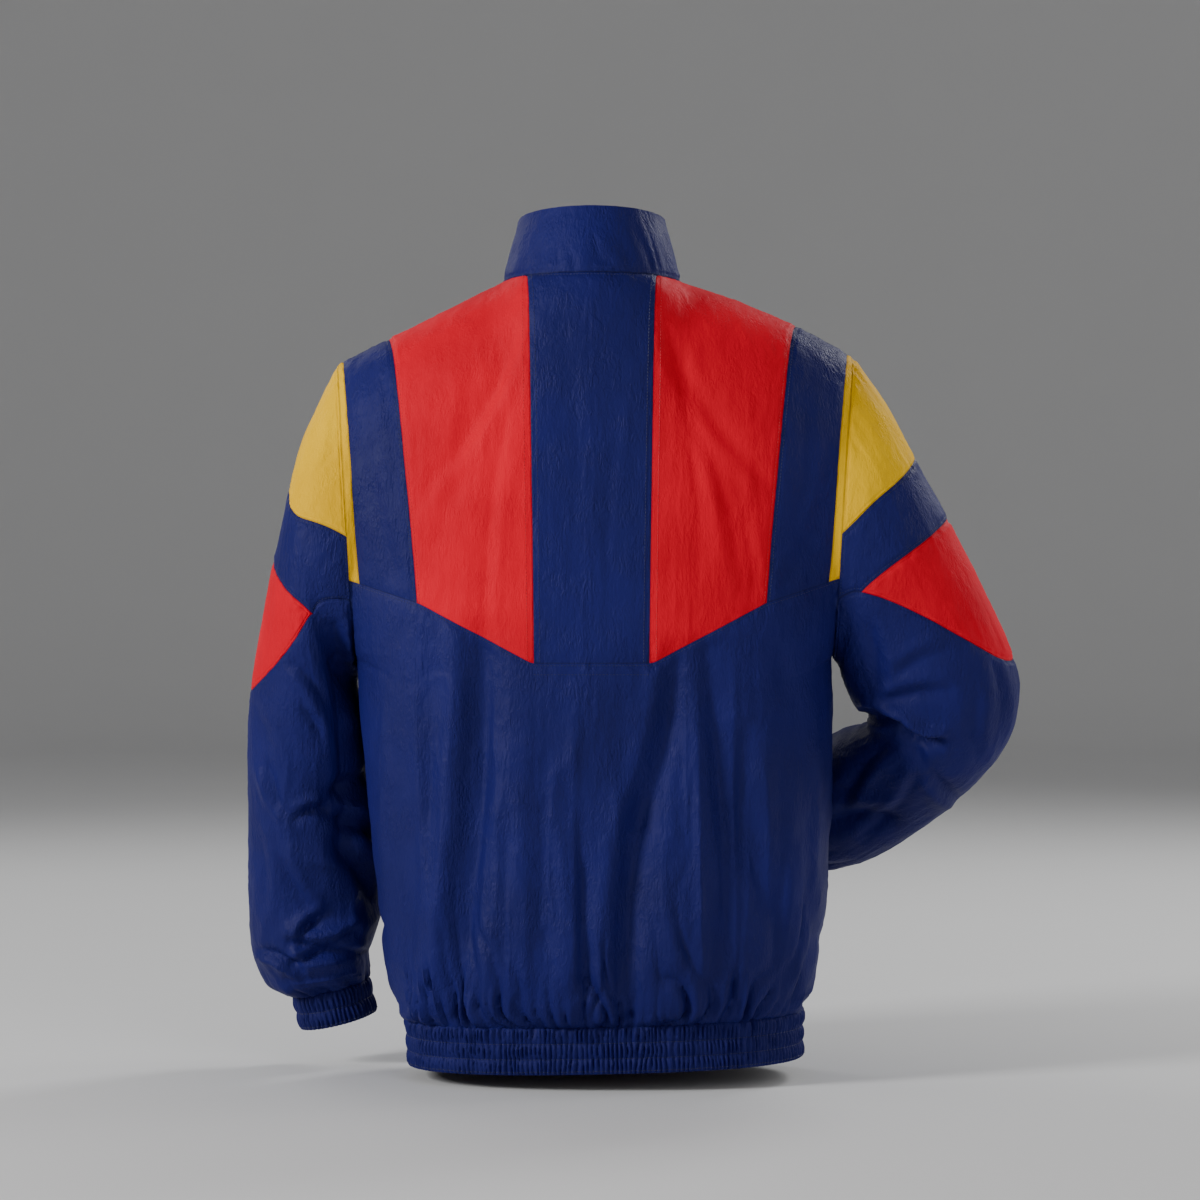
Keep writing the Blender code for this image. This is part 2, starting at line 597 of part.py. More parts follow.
def collar_grid(backs, fronts):
    """The stand collar, from the left zip edge round the back to the right one."""
    neck = []
    for side in ("left", "right"):
        front = [p for p in fronts[side][-1] if abs(p[0]) < NECK_HALF_WIDTH + 1e-6]
        back = [p for p in backs[side][-1] if abs(p[0]) < NECK_HALF_WIDTH + 1e-6]
        half = front[:5] + back[3::-1][1:]
        neck += half if side == "left" else half[-2::-1]
    grid = [neck]
    for height in (0.30, 0.65, 1.0):
        row = []
        for i, foot in enumerate(neck):
            turn = math.degrees(math.atan2(foot[0] / NECK_HALF_WIDTH,
                                           (foot[1] - NECK_CENTRE_Y) / NECK_DEPTH))
            point = mix(foot, collar_top_point(turn), height)
            if i in (0, len(neck) - 1):
                point[0] = math.copysign(ZIP_HALF_WIDTH, foot[0])
            row.append(point)
        grid.append(row)
    return np.array(grid)


def sleeve_panels(garment, side, sign):
    """The yellow head, the navy band, the pointed red block and the lower sleeve."""
    stops = list(ARMHOLE_STOPS)
    up_to = {end: mirrored([a for a in stops if a <= end])
             for end in (CAP_END, BAND_END, RED_TIP_ANGLE)}
    seams = {name: (lambda angle, name=name: seam_ring(side, name, angle))
             for name in ("cap", "band", "red")}
    last = RINGS[side][-1][0]

    garment.add(f"sleeve_yellow_{side}",
                sleeve_patch(side, up_to[CAP_END], lambda angle: 0.0, seams["cap"], 4),
                YELLOW, -sign, pointed=True)
    garment.add(f"sleeve_band_{side}",
                sleeve_patch(side, up_to[BAND_END], seams["cap"], seams["band"], 3),
                NAVY, -sign, pointed=True)
    garment.add(f"sleeve_red_{side}",
                sleeve_patch(side, up_to[RED_TIP_ANGLE], seams["band"], seams["red"], 4),
                RED, -sign, pointed=True)
    ring = mirrored(stops)[1:]
    garment.add(f"sleeve_lower_{side}",
                sleeve_patch(side, ring, seams["red"], lambda angle: last, 13),
                NAVY, -sign, around=True, level={-1: cuff_axis(side)})


def cuff_axis(side):
    """The way out of a sleeve at its cuff."""
    last = RINGS[side][-1][0]
    middle, outward, back = ring_frame(side, last)
    axis = unit(np.cross(outward, back))
    return axis * math.copysign(1.0, axis @ (middle - ring_frame(side, last - 1.0)[0]))


# ------------------------------------------------------------------ elastic bands
def even_points(points, count, around):
    """Points at even steps along a dense line."""
    line = np.array(points + points[:1] if around else points)
    run = np.concatenate(([0.0], np.cumsum(np.linalg.norm(np.diff(line, axis=0), axis=1))))
    places = np.linspace(0.0, run[-1], count, endpoint=not around)
    return np.stack([np.interp(places, run, line[:, axis]) for axis in range(3)], axis=1)


def elastic_band(name, line, down, height, tiers, around, collection):
    """A shirred band hanging from a line: ribs outside, drawn in at its stitch rows, plain inside."""
    columns = len(line)
    ahead = np.roll(line, -1, axis=0) - np.roll(line, 1, axis=0)
    if not around:
        ahead[0], ahead[-1] = line[1] - line[0], line[-1] - line[-2]
    out = np.array([unit(np.cross(way, down)) for way in ahead])
    if (out * (line - line.mean(axis=0))).sum() < 0.0:
        out = -out
    step = SEAM_GAP / 2.0
    profile = [(0.0, 0.3, 0.2)]
    for tier in range(tiers):
        profile += [((tier + 0.5) / tiers, 1.0, 1.0), ((tier + 1.0) / tiers, 0.3, 0.0)]
    outer = []
    for place, rib, swell in profile:
        drop = mix(step, height, place)
        waves = np.array([RIB_RISE * rib * (j % 2) + STITCH_PULL * swell for j in range(columns)])
        outer.append(line + down * drop + out * waves[:, None])
    outer = np.array(outer)
    inner = np.array([line + down * drop - out * WALL for drop in (step, height)])
    if not around:
        for border, within in ((0, 1), (-1, -2)):
            for skin in (outer, inner):
                for row in skin:
                    row[border] += step * unit(row[within] - row[border])

    bm = bmesh.new()
    front = [[bm.verts.new(p) for p in row] for row in outer]
    rear = [[bm.verts.new(p) for p in row] for row in inner]
    spans = range(columns if around else columns - 1)
    for skin in (front, rear):
        for upper, lower in zip(skin, skin[1:]):
            for j in spans:
                k = (j + 1) % columns
                bm.faces.new((upper[j], upper[k], lower[k], lower[j]))
    for row in (0, -1):
        for j in spans:
            k = (j + 1) % columns
            bm.faces.new((front[row][j], front[row][k], rear[row][k], rear[row][j]))
    if not around:
        for border in (0, -1):
            bm.faces.new([row[border] for row in front] + [rear[1][border], rear[0][border]])
    return finish_mesh(name, bm, NAVY, collection)


def hem_line(face, side, count=60):
    """The hem seam on one side of the back or the front, from the middle out."""
    start = front_shares(side, 0.0)[0] if face < 0 else 0.0
    places = [mix(start, 1.0, math.sin(math.pi / 2 * i / count)) for i in range(count + 1)]
    return [trunk_point(side, face, min(place, 1.0), 0.0) for place in places]


def hem_band(collection):
    line = hem_line(-1, "left") + hem_line(1, "left")[-2::-1]
    line += hem_line(1, "right")[1:] + hem_line(-1, "right")[-2::-1]
    elastic_band("hem_band", even_points(line, 2 * BAND_RIBS + 1, False), -HEM_UP,
                 BAND_HEIGHT, BAND_TIERS, False, collection)


def cuff(side, collection):
    last = RINGS[side][-1][0]
    line = [sleeve_point(side, 3.0 * i, last) for i in range(120)]
    elastic_band(f"cuff_{side}", even_points(line, 2 * CUFF_RIBS, True), cuff_axis(side),
                 CUFF_HEIGHT, CUFF_TIERS, True, collection)


# ------------------------------------------------------------------ zip
def zip_path(garment, front, collar):
    """Edge point, way along the cloth from the zip, and outward normal, from the hem to the top."""
    path = []
    for row in list(front) + list(collar)[1:]:
        edge, along = row[0], unit(row[1] - row[0])
        normal = garment.normal(edge)
        path.append((edge, along, unit(normal - (normal @ along) * along)))
    edge, along, normal = path[0]
    level = unit(normal - (normal @ HEM_UP) * HEM_UP)
    path[0] = (edge, along, level)
    path.insert(0, (edge - HEM_UP * BAND_HEIGHT, along, level))
    return path


def zip_half(side, path, collection):
    """Half of the zip: its tape lies behind the front's edge, and its chain fills the opening."""
    front_of_tape = WALL + 0.00045
    rear = front_of_tape + ZIP_TAPE_WALL
    middle = -ZIP_HALF_WIDTH
    chain_edge = -0.0007
    reach = ZIP_TAPE_REACH - ZIP_HALF_WIDTH
    section = ((middle, -rear), (reach, -rear), (reach, -front_of_tape),
               (chain_edge, -front_of_tape), (chain_edge, ZIP_CHAIN_RISE), (middle, ZIP_CHAIN_RISE))
    sign = dict(SIDES)[side]
    bm = bmesh.new()
    rings = []
    for edge, along, normal in path:
        ring = []
        for aside, depth in section:
            point = edge + along * aside + normal * depth
            if aside == middle:
                point[0] = edge[0] - sign * (ZIP_HALF_WIDTH - SEAM_GAP / 2.0)
            ring.append(bm.verts.new(point))
        rings.append(ring)
    for lower, upper in zip(rings, rings[1:]):
        for j in range(len(section)):
            k = (j + 1) % len(section)
            bm.faces.new((lower[j], lower[k], upper[k], upper[j]))
    for ring in (rings[0], rings[-1]):
        bm.faces.new(ring)
    finish_mesh(f"zip_half_{side}", bm, TAPE, collection, roughness=0.5)


SLIDER_SIZE = (0.0088, 0.0024, 0.0125)   # across, thick, tall
EAR_SIZE = (0.0012, 0.0042, 0.0044)
EAR_MIDDLE_X = 0.0033
PIN_RADIUS = 0.0007
EYE_RADIUS = 0.0019
EYE_HOLE_RADIUS = 0.0010
EYE_WIDTH = 0.0048
TAB_WIDTH, TAB_LENGTH, TAB_WALL = 0.0070, 0.0290, 0.0014
TAB_NECK_WIDTH = 0.0040


def block(name, size, place, collection, bevel=0.0):
    """A box of a size at a place, with its edges rounded where bevel is given."""
    bm = bmesh.new()
    bmesh.ops.create_cube(bm, size=1.0)
    bmesh.ops.scale(bm, vec=size, verts=bm.verts)
    bmesh.ops.translate(bm, vec=place, verts=bm.verts)
    obj = finish_mesh(name, bm, METAL, collection, metallic=0.8, roughness=0.35)
    if bevel:
        rounding = obj.modifiers.new("rounded edges", "BEVEL")
        rounding.width, rounding.segments = bevel, 2
    return obj


def rod(name, radius, length, place, collection, sides=16):
    """A round rod along X."""
    bm = bmesh.new()
    bmesh.ops.create_cone(bm, cap_ends=True, segments=sides, radius1=radius, radius2=radius,
                          depth=length)
    bmesh.ops.rotate(bm, verts=bm.verts, matrix=Matrix.Rotation(math.pi / 2, 3, "Y"))
    bmesh.ops.translate(bm, vec=place, verts=bm.verts)
    return finish_mesh(name, bm, METAL, collection, metallic=0.8, roughness=0.35)


def combine(obj, other, operation):
    """Joins another shape to an object, or cuts it out."""
    step = obj.modifiers.new(operation.lower(), "BOOLEAN")
    step.operation, step.object, step.solver = operation, other, "EXACT"
    other.hide_render = True
    other.display_type = "WIRE"


def zip_top(path, collection, cutters):
    """The slider at the top of the closed zip, and the pull tab that hangs from its pin."""
    chain = np.array([edge - along * ZIP_HALF_WIDTH + normal * ZIP_CHAIN_RISE
                      for edge, along, normal in path])
    middle_z = path[-1][0][2] - SLIDER_DROP
    foot_z = middle_z - SLIDER_SIZE[2] / 2.0
    face_y = float(np.interp(foot_z, chain[:, 2], chain[:, 1])) - SEAM_GAP
    plate_y = face_y - SLIDER_SIZE[1] / 2.0
    pin = Vector((0.0, face_y - SLIDER_SIZE[1] - 0.0024, middle_z + 0.0025))

    slider = block("zip_slider", SLIDER_SIZE, (0.0, plate_y, middle_z), collection, bevel=0.0006)
    for side, sign in SIDES:
        ear = block(f"slider ear {side}", EAR_SIZE,
                    (sign * EAR_MIDDLE_X, pin.y + 0.0004, pin.z), cutters)
        combine(slider, ear, "UNION")
    combine(slider, rod("slider pin", PIN_RADIUS, 2 * EAR_MIDDLE_X, pin, cutters), "UNION")

    pull = rod("zip_pull", EYE_RADIUS, EYE_WIDTH, (0.0, 0.0, 0.0), collection)
    neck = block("pull neck", (TAB_NECK_WIDTH, TAB_WALL, 0.0060), (0.0, 0.0, -0.0042), cutters)
    tab = block("pull tab", (TAB_WIDTH, TAB_WALL, TAB_LENGTH - 0.0065),
                (0.0, 0.0, -0.0065 - (TAB_LENGTH - 0.0065) / 2), cutters)
    hole = rod("pull hole", EYE_HOLE_RADIUS, 2 * EYE_WIDTH, (0.0, 0.0, 0.0), cutters)
    pull.location = pin
    for piece in (neck, tab, hole):
        piece.parent = pull
    combine(pull, neck, "UNION")
    combine(pull, tab, "UNION")
    combine(pull, hole, "DIFFERENCE")


# ------------------------------------------------------------------ the jacket
def main():
    for obj in list(bpy.data.objects):
        bpy.data.objects.remove(obj, do_unlink=True)
    jacket = bpy.data.collections.new("windbreaker_jacket")
    cutters = bpy.data.collections.new("cutters")
    for collection in (jacket, cutters):
        bpy.context.scene.collection.children.link(collection)

    backs = {side: trunk_grid(side, 1) for side, sign in SIDES}
    fronts = {side: trunk_grid(side, -1) for side, sign in SIDES}
    collar = collar_grid(backs, fronts)
    garment = Garment()
    trunk_panels(garment, backs, fronts)
    garment.add("collar", collar, NAVY, 1)
    for side, sign in SIDES:
        sleeve_panels(garment, side, sign)
    garment.build(jacket)

    hem_band(jacket)
    for side, sign in SIDES:
        cuff(side, jacket)
        path = zip_path(garment, fronts[side], collar if sign > 0 else collar[:, ::-1])
        zip_half(side, path, jacket)
    zip_top(path, jacket, cutters)
    bpy.context.view_layer.update()


main()
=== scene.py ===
"""Worn windbreaker jacket, dressed: crinkled nylon panels, shirred elastic, stitching and zip.

Metres, +Z up, the front faces -Y and the wearer's left is +X.
"""
import math

import bpy
import numpy as np
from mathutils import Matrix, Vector


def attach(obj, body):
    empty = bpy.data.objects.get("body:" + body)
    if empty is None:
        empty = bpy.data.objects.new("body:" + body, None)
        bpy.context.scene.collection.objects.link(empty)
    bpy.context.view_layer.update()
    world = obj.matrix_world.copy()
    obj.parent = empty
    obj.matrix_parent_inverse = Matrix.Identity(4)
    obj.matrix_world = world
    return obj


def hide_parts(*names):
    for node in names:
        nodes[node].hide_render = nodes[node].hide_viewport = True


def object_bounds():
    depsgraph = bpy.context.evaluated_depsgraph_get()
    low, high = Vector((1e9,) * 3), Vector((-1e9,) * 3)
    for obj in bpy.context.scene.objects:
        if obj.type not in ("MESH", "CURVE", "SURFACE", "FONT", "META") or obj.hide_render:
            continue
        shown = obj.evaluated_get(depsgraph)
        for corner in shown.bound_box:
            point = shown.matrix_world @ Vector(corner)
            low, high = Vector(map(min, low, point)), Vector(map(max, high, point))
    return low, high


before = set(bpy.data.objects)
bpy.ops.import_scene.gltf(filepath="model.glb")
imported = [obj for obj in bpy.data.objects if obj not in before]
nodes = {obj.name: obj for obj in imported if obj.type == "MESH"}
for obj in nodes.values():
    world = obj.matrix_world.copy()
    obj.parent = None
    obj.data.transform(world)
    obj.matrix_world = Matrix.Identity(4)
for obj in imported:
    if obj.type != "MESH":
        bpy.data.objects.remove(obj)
cad_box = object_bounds()

# ------------------------------------------------------------------ sizes of the cut and the form
SIDES = {"left": 1.0, "right": -1.0}
CLOTH = 0.0010           # thickness of the nylon shell
COLLAR_CLOTH = 0.0020    # the collar is two layers
NECK_HALF_WIDTH = 0.080
NECK_CENTRE_Y = 0.010
NECK_DEPTH = 0.085
NECK_BACK_RISE = 0.003
NECK_FRONT_DROP = 0.055
COLLAR_HALF_WIDTH = 0.067
COLLAR_DEPTH = 0.074
COLLAR_HEIGHT = 0.056
COLLAR_BACK_RISE = 0.004
COLLAR_FRONT_RISE = 0.010
COLLAR_LEAN = 0.006      # how far the top edge stands forward of the neck seam
ZIP_HALF_WIDTH = 0.0040
BAND_HEIGHT = 0.040
CUFF_HEIGHT = 0.031
NECK_PULL_V = 1.45        # the level from which the back is drawn over to the neck
YOKE_ANGLE = 119.0
YOKE_V = 2.0 - YOKE_ANGLE / 180.0
# How the levels of the trunk fall from its middle, 0, to the side seam or armhole, 1.
FALL_SHARES, FALL = (0.245, 0.706, 1.0), (0.0, 0.72, 1.0)

# Trunk levels up to the yoke seam, by v: 0 is the hem seam and 1 the armpit. side_z and half_width
# place the side seam, back_z and front_z the middle, and lean tips the level down to the left.
TRUNK_COLUMNS = ("v", "side_z", "half_width", "shift_x", "back_z", "front_z", "roundness", "lean")
TRUNK = (
    (0.00, -0.6550, 0.1765, -0.0110, -0.6550, -0.6550, 2.50, 0.022),
    (0.06, -0.6370, 0.1865, -0.0095, -0.6400, -0.6400, 2.45, 0.020),
    (0.14, -0.6110, 0.1930, -0.0095, -0.6200, -0.6200, 2.40, 0.018),
    (0.30, -0.5590, 0.2000, -0.0095, -0.5860, -0.5860, 2.35, 0.012),
    (0.60, -0.4640, 0.2085, -0.0070, -0.5180, -0.5180, 2.35, 0.006),
    (1.00, -0.3350, 0.2137, -0.0020, -0.4280, -0.4300, 2.40, 0.000),
    (1.34, -0.2670, 0.2137, 0.0000, -0.3384, -0.3450, 2.40, 0.000),
)

# The trunk's depth at every level; 2 is the shoulder seam.
DEPTH_COLUMNS = ("v", "back_y", "front_y")
DEPTHS = (
    (0.00, 0.120, -0.112),
    (0.06, 0.130, -0.122),
    (0.14, 0.137, -0.131),
    (0.30, 0.140, -0.137),
    (0.60, 0.136, -0.140),
    (1.00, 0.129, -0.140),
    (1.34, 0.125, -0.137),
    (1.64, 0.117, -0.122),
    (1.82, 0.106, -0.098),
    (2.00, 0.095, -0.075),
)
EDGE_PULL = 2.5          # how late a level turns towards its edge's own depth

# Armholes: the shoulder tip's x, y and z, the armpit's x and z, how far the hole bows back and
# forward, and how its top flares. The last value, arch, lifts the middle of the shoulder seam above
# a straight line.
ARMHOLE = {
    "left": (0.2286, -0.005, -0.0718, 0.2117, -0.3350, 0.072, 0.066, 1.6, 0.000),
    "right": (-0.2345, -0.005, -0.0650, -0.2157, -0.3350, 0.072, 0.066, 1.6, 0.006),
}
BOW_TILT = 0.15          # how much nearer the armpit than the shoulder tip the hole bows most

# Sleeve rings after the armhole: the outer and the inner point, and the half depth across them.
RING_COLUMNS = ("s", "out_x", "out_y", "out_z", "in_x", "in_y", "in_z", "depth")
LEFT_RINGS = (
    (1.0, 0.2500, -0.006, -0.1200, 0.2165, -0.004, -0.3400, 0.075),
    (2.0, 0.2690, -0.008, -0.1830, 0.2165, -0.012, -0.3500, 0.074),
    (3.0, 0.2860, -0.010, -0.2480, 0.2145, -0.021, -0.3660, 0.072),
    (4.0, 0.2985, -0.014, -0.3050, 0.2105, -0.030, -0.3890, 0.070),
    (5.0, 0.3080, -0.020, -0.3580, 0.2065, -0.038, -0.4190, 0.067),
    (6.0, 0.3125, -0.028, -0.4120, 0.2015, -0.046, -0.4550, 0.064),
    (7.0, 0.3135, -0.037, -0.4680, 0.1965, -0.054, -0.4950, 0.062),
    (8.0, 0.3140, -0.046, -0.5240, 0.1920, -0.062, -0.5380, 0.060),
    (9.0, 0.3140, -0.055, -0.5720, 0.1945, -0.068, -0.5730, 0.059),
    (10.0, 0.3110, -0.062, -0.6100, 0.2045, -0.073, -0.6030, 0.057),
    (11.0, 0.3010, -0.067, -0.6350, 0.2050, -0.076, -0.6200, 0.051),
    (12.0, 0.2745, -0.070, -0.6480, 0.2065, -0.078, -0.6315, 0.034),
)
RIGHT_RINGS = (
    (1.0, -0.2660, -0.003, -0.1100, -0.2215, -0.003, -0.3420, 0.075),
    (2.0, -0.2960, 0.001, -0.1660, -0.2245, -0.006, -0.3520, 0.075),
    (3.0, -0.3250, 0.005, -0.2210, -0.2290, -0.009, -0.3630, 0.072),
    (4.0, -0.3510, 0.008, -0.2730, -0.2350, -0.012, -0.3750, 0.070),
    (5.0, -0.3740, 0.009, -0.3230, -0.2405, -0.017, -0.3850, 0.067),
    (6.0, -0.3840, 0.007, -0.3640, -0.2440, -0.026, -0.3920, 0.064),
    (7.0, -0.3770, -0.001, -0.4060, -0.2430, -0.040, -0.3970, 0.061),
    (8.0, -0.3560, -0.018, -0.4400, -0.2380, -0.057, -0.4010, 0.057),
    (9.0, -0.3240, -0.046, -0.4750, -0.2240, -0.084, -0.4070, 0.052),
    (10.0, -0.2880, -0.080, -0.5050, -0.2040, -0.114, -0.4190, 0.048),
    (11.0, -0.2500, -0.118, -0.5290, -0.1830, -0.143, -0.4370, 0.046),
    (12.0, -0.2060, -0.153, -0.5400, -0.1590, -0.166, -0.4700, 0.034),
)
RINGS = {"left": LEFT_RINGS, "right": RIGHT_RINGS}
ARMHOLE_DEPTH = 0.070    # half the depth of ring 0, at the armhole
SETTLE_RINGS = 3.0       # the rings in which a sleeve settles from the armhole's shape to its own

# Seams across a sleeve: the ring of each on the outer line, and the ring of the red block's point.
# A seam's bend says how late it rises on its way to the armhole, or to that point.
CAP_END, BAND_END, RED_TIP_ANGLE = 101.0, 128.0, 110.0
ARMHOLE_STOPS = (0.0, 14.0, 27.0, 40.0, 53.0, 65.0, 77.0, 89.0, CAP_END, RED_TIP_ANGLE, YOKE_ANGLE,
                 BAND_END, 145.0, 162.0, 180.0)
SEAM_COLUMNS = ("cap", "band", "red", "tip")
SEAM_RINGS = {
    "left": (1.94, 2.98, 5.13, 1.85),
    "right": (1.84, 2.81, 5.30, 1.45),
}
SEAM_BEND = {
    "left": {"cap": 3.2, "band": 2.9, "red": 1.7},
    "right": {"cap": 2.9, "band": 2.7, "red": 2.1},
}

# Lengthwise lines of the back, in metres from the middle: the centre strip's edge, the neck point
# and the red panel's outer edge; slit is the width of the yellow strip along the armhole.
LINE_COLUMNS = ("v", "strip", "neck", "red", "slit")
BACK_LINES = (
    (0.00, 0.048, 0.074, 0.128, 0.018),
    (1.00, 0.050, 0.076, 0.148, 0.018),
    (1.34, 0.0501, 0.077, 0.153, 0.0082),
    (1.64, 0.0530, 0.078, 0.167, 0.0070),
    (2.00, 0.0575, NECK_HALF_WIDTH, 0.184, 0.0045),
)

# The largest folds of the trunk: a soft trough, or a ridge where depth is negative, from one point
# to another. Face, which is +1 on the back and -1 on the front, x0, z0, x1, z1, depth and width.
TRUNK_FOLDS = (
    (1, 0.100, -0.330, 0.128, -0.640, 0.0075, 0.026),
    (1, 0.066, -0.420, 0.074, -0.640, -0.0050, 0.022),
    (1, -0.056, -0.335, -0.022, -0.630, 0.0085, 0.027),
    (1, -0.088, -0.340, -0.100, -0.640, 0.0060, 0.024),
    (1, -0.127, -0.400, -0.148, -0.560, 0.0050, 0.020),
    (1, 0.066, -0.050, 0.138, -0.190, 0.0040, 0.016),
    (1, -0.070, -0.050, -0.120, -0.170, 0.0035, 0.016),
    (-1, 0.110, -0.330, 0.085, -0.640, 0.0070, 0.026),
    (-1, -0.100, -0.350, -0.120, -0.640, 0.0065, 0.026),
    (-1, 0.150, -0.420, 0.140, -0.640, 0.0045, 0.020),
    (-1, -0.055, -0.450, -0.050, -0.640, 0.0050, 0.022),
)

# How much of a level's height, or of its width, the largest folds need to fade in.
HEM_FADE, SHOULDER_FADE, SIDE_FADE = 0.12, 0.15, 0.10
FOLD_OVERRUN = 0.08      # the share of a fold's length by which it runs on past each end
FOLD_BLUNTNESS = 0.6     # below 1, so that a fold's depth holds along most of its length

# The largest folds of a sleeve, across it: ring, angle from the outer line, half length in
# degrees, depth and width in rings. They start after ring 4.5 and end before the cuff.
SLEEVE_FOLD_START, SLEEVE_FOLD_FADE, CUFF_FADE = 4.5, 1.0, 0.8
SLEEVE_FOLDS = {
    "left": ((6.5, 130.0, 75.0, 0.0080, 0.60), (8.6, 95.0, 70.0, 0.0060, 0.50),
             (10.6, 60.0, 90.0, 0.0050, 0.45), (8.0, -110.0, 70.0, 0.0060, 0.60)),
    "right": ((6.6, 150.0, 70.0, 0.0080, 0.60), (5.4, 165.0, 60.0, 0.0050, 0.50),
              (9.4, 60.0, 60.0, 0.0045, 0.60), (8.0, -130.0, 70.0, 0.0060, 0.60)),
}

# Cells across each strip of the back between its lines, and across a front as far as the neck.
BACK_CELLS = (26, 12, 42, 20, 5)
FRONT_CELLS = 26
NECK_CELLS = sum(BACK_CELLS[:2])
LOW_ROWS = 106           # rows of the trunk from the hem seam up to the armpit
ANGLE_STEP = 1.75        # degrees between the rows above it, and round a sleeve
CROWDING = 0.075         # how much closer rows and columns lie beside a seam


# ------------------------------------------------------------------ reading the tables
def column(table, names, name):
    """One named column of a table, as an array."""
    return np.array([row[names.index(name)] for row in table], float)


def smooth_read(table, names, name, at):
    """A column read at places between its rows, along a smooth curve through them."""
    places, values = column(table, names, names[0]), column(table, names, name)
    slopes = np.gradient(values, places)
    turning = (values[1:-1] - values[:-2]) * (values[2:] - values[1:-1]) <= 0.0
    slopes[1:-1][turning] = 0.0
    i = np.clip(np.searchsorted(places, at) - 1, 0, len(places) - 2)
    step = places[i + 1] - places[i]
    u = (at - places[i]) / step
    return ((2 * u**3 - 3 * u**2 + 1) * values[i] + (u**3 - 2 * u**2 + u) * step * slopes[i]
            + (-2 * u**3 + 3 * u**2) * values[i + 1] + (u**3 - u**2) * step * slopes[i + 1])


def unit(vectors):
    return vectors / np.maximum(np.linalg.norm(vectors, axis=-1, keepdims=True), 1e-12)


def arc_lengths(grid, axis=0):
    """How far each point lies along its row or column, or along a line, from the first one."""
    steps = np.linalg.norm(np.diff(grid, axis=axis), axis=-1)
    return np.insert(np.cumsum(steps, axis=axis), 0, 0.0, axis=axis)


def read_at(places, run, values):
    """Rows of values read at places along a line, where run says how far each row lies."""
    return np.stack([np.interp(places, run, column) for column in values.T], axis=-1)


def mix(a, b, share):
    return a + (b - a) * share


def fade_in(values, low, high):
    """0 below low and 1 above high, smoothly."""
    t = np.clip((values - low) / (high - low), 0.0, 1.0)
    return t * t * (3.0 - 2.0 * t)


def finer(stops):
    """The stops with even steps of about ANGLE_STEP between them."""
    angles = [stops[0]]
    for low, high in zip(stops, stops[1:]):
        cells = max(int(round((high - low) / ANGLE_STEP)), 1)
        angles += [mix(low, high, (i + 1) / cells) for i in range(cells)]
    return angles


# ------------------------------------------------------------------ armhole and neck
def armhole_point(side, angle):
    """Points of the armhole seam. angle runs from the shoulder tip, + at the back, in degrees."""
    tip_x, tip_y, tip_z, pit_x, pit_z, bow_back, bow_front, flare = ARMHOLE[side][:-1]
    turn = np.radians(angle)
    high = 0.5 + 0.5 * np.cos(turn)
    bow = np.where(turn > 0.0, bow_back, bow_front)
    return np.stack((mix(pit_x, tip_x, high**flare),
                     tip_y * high + bow * np.sin(turn) * (1.0 - BOW_TILT * np.cos(turn)),
                     mix(pit_z, tip_z, high)), axis=-1)


def neck_point(turn):
    """Points of the neck seam. turn is in degrees from the middle of the back, + to the left."""
    sine, cosine = np.sin(np.radians(turn)), np.cos(np.radians(turn))
    height = np.where(cosine > 0.0, NECK_BACK_RISE * cosine, -NECK_FRONT_DROP * cosine**2)
    return np.stack((NECK_HALF_WIDTH * sine, NECK_CENTRE_Y + NECK_DEPTH * cosine, height), axis=-1)


def collar_top_point(turn):
    """The points of the collar's top edge that stand over points of the neck seam."""
    sine, cosine = np.sin(np.radians(turn)), np.cos(np.radians(turn))
    rise = np.where(cosine > 0.0, COLLAR_BACK_RISE * cosine, -COLLAR_FRONT_RISE * cosine)
    return np.stack((COLLAR_HALF_WIDTH * sine, NECK_CENTRE_Y - COLLAR_LEAN + COLLAR_DEPTH * cosine,
                     neck_point(turn)[..., 2] + COLLAR_HEIGHT + rise), axis=-1)


# ------------------------------------------------------------------ the trunk's surface
TRUNK_ROWS = np.array([i / LOW_ROWS for i in range(LOW_ROWS)]
                      + [2.0 - angle / 180.0 for angle in reversed(finer(ARMHOLE_STOPS))])
YOKE_ROW = int(np.argmin(np.abs(TRUNK_ROWS - YOKE_V)))


def trunk_read(name, v):
    return float(smooth_read(TRUNK, TRUNK_COLUMNS, name, v))


def side_edge(side, face, v):
    """The edge of the trunk's back or front at a level: the side seam, or the armhole."""
    if v > 1.0:
        return armhole_point(side, face * 180.0 * (2.0 - v))
    x = trunk_read("shift_x", v) + SIDES[side] * trunk_read("half_width", v)
    return np.array((x, 0.0, trunk_read("side_z", v) - trunk_read("lean", v) * x))


def half_span(side, face, v):
    """Distance across, from the middle line to the edge."""
    return abs(side_edge(side, face, v)[0] - trunk_read("shift_x", min(v, YOKE_V)))


def shoulder_row(side, face, shares):
    """The top row: the neck seam out to the neck point, then the shoulder seam to its tip."""
    sign, span = SIDES[side], half_span(side, face, 2.0)
    x = shares * span
    turn = np.degrees(np.arcsin(np.clip(x / NECK_HALF_WIDTH, 0.0, 1.0)))
    neck = neck_point(sign * (turn if face > 0 else 180.0 - turn))
    run = np.clip((x - NECK_HALF_WIDTH) / (span - NECK_HALF_WIDTH), 0.0, 1.0)
    shoulder = mix(neck_point(sign * 90.0), armhole_point(side, 0.0), run[:, None])
    arch = ARMHOLE[side][-1]
    shoulder[:, 2] += arch * 4.0 * run * (1.0 - run)
    return np.where((x <= NECK_HALF_WIDTH + 1e-6)[:, None], neck, shoulder)


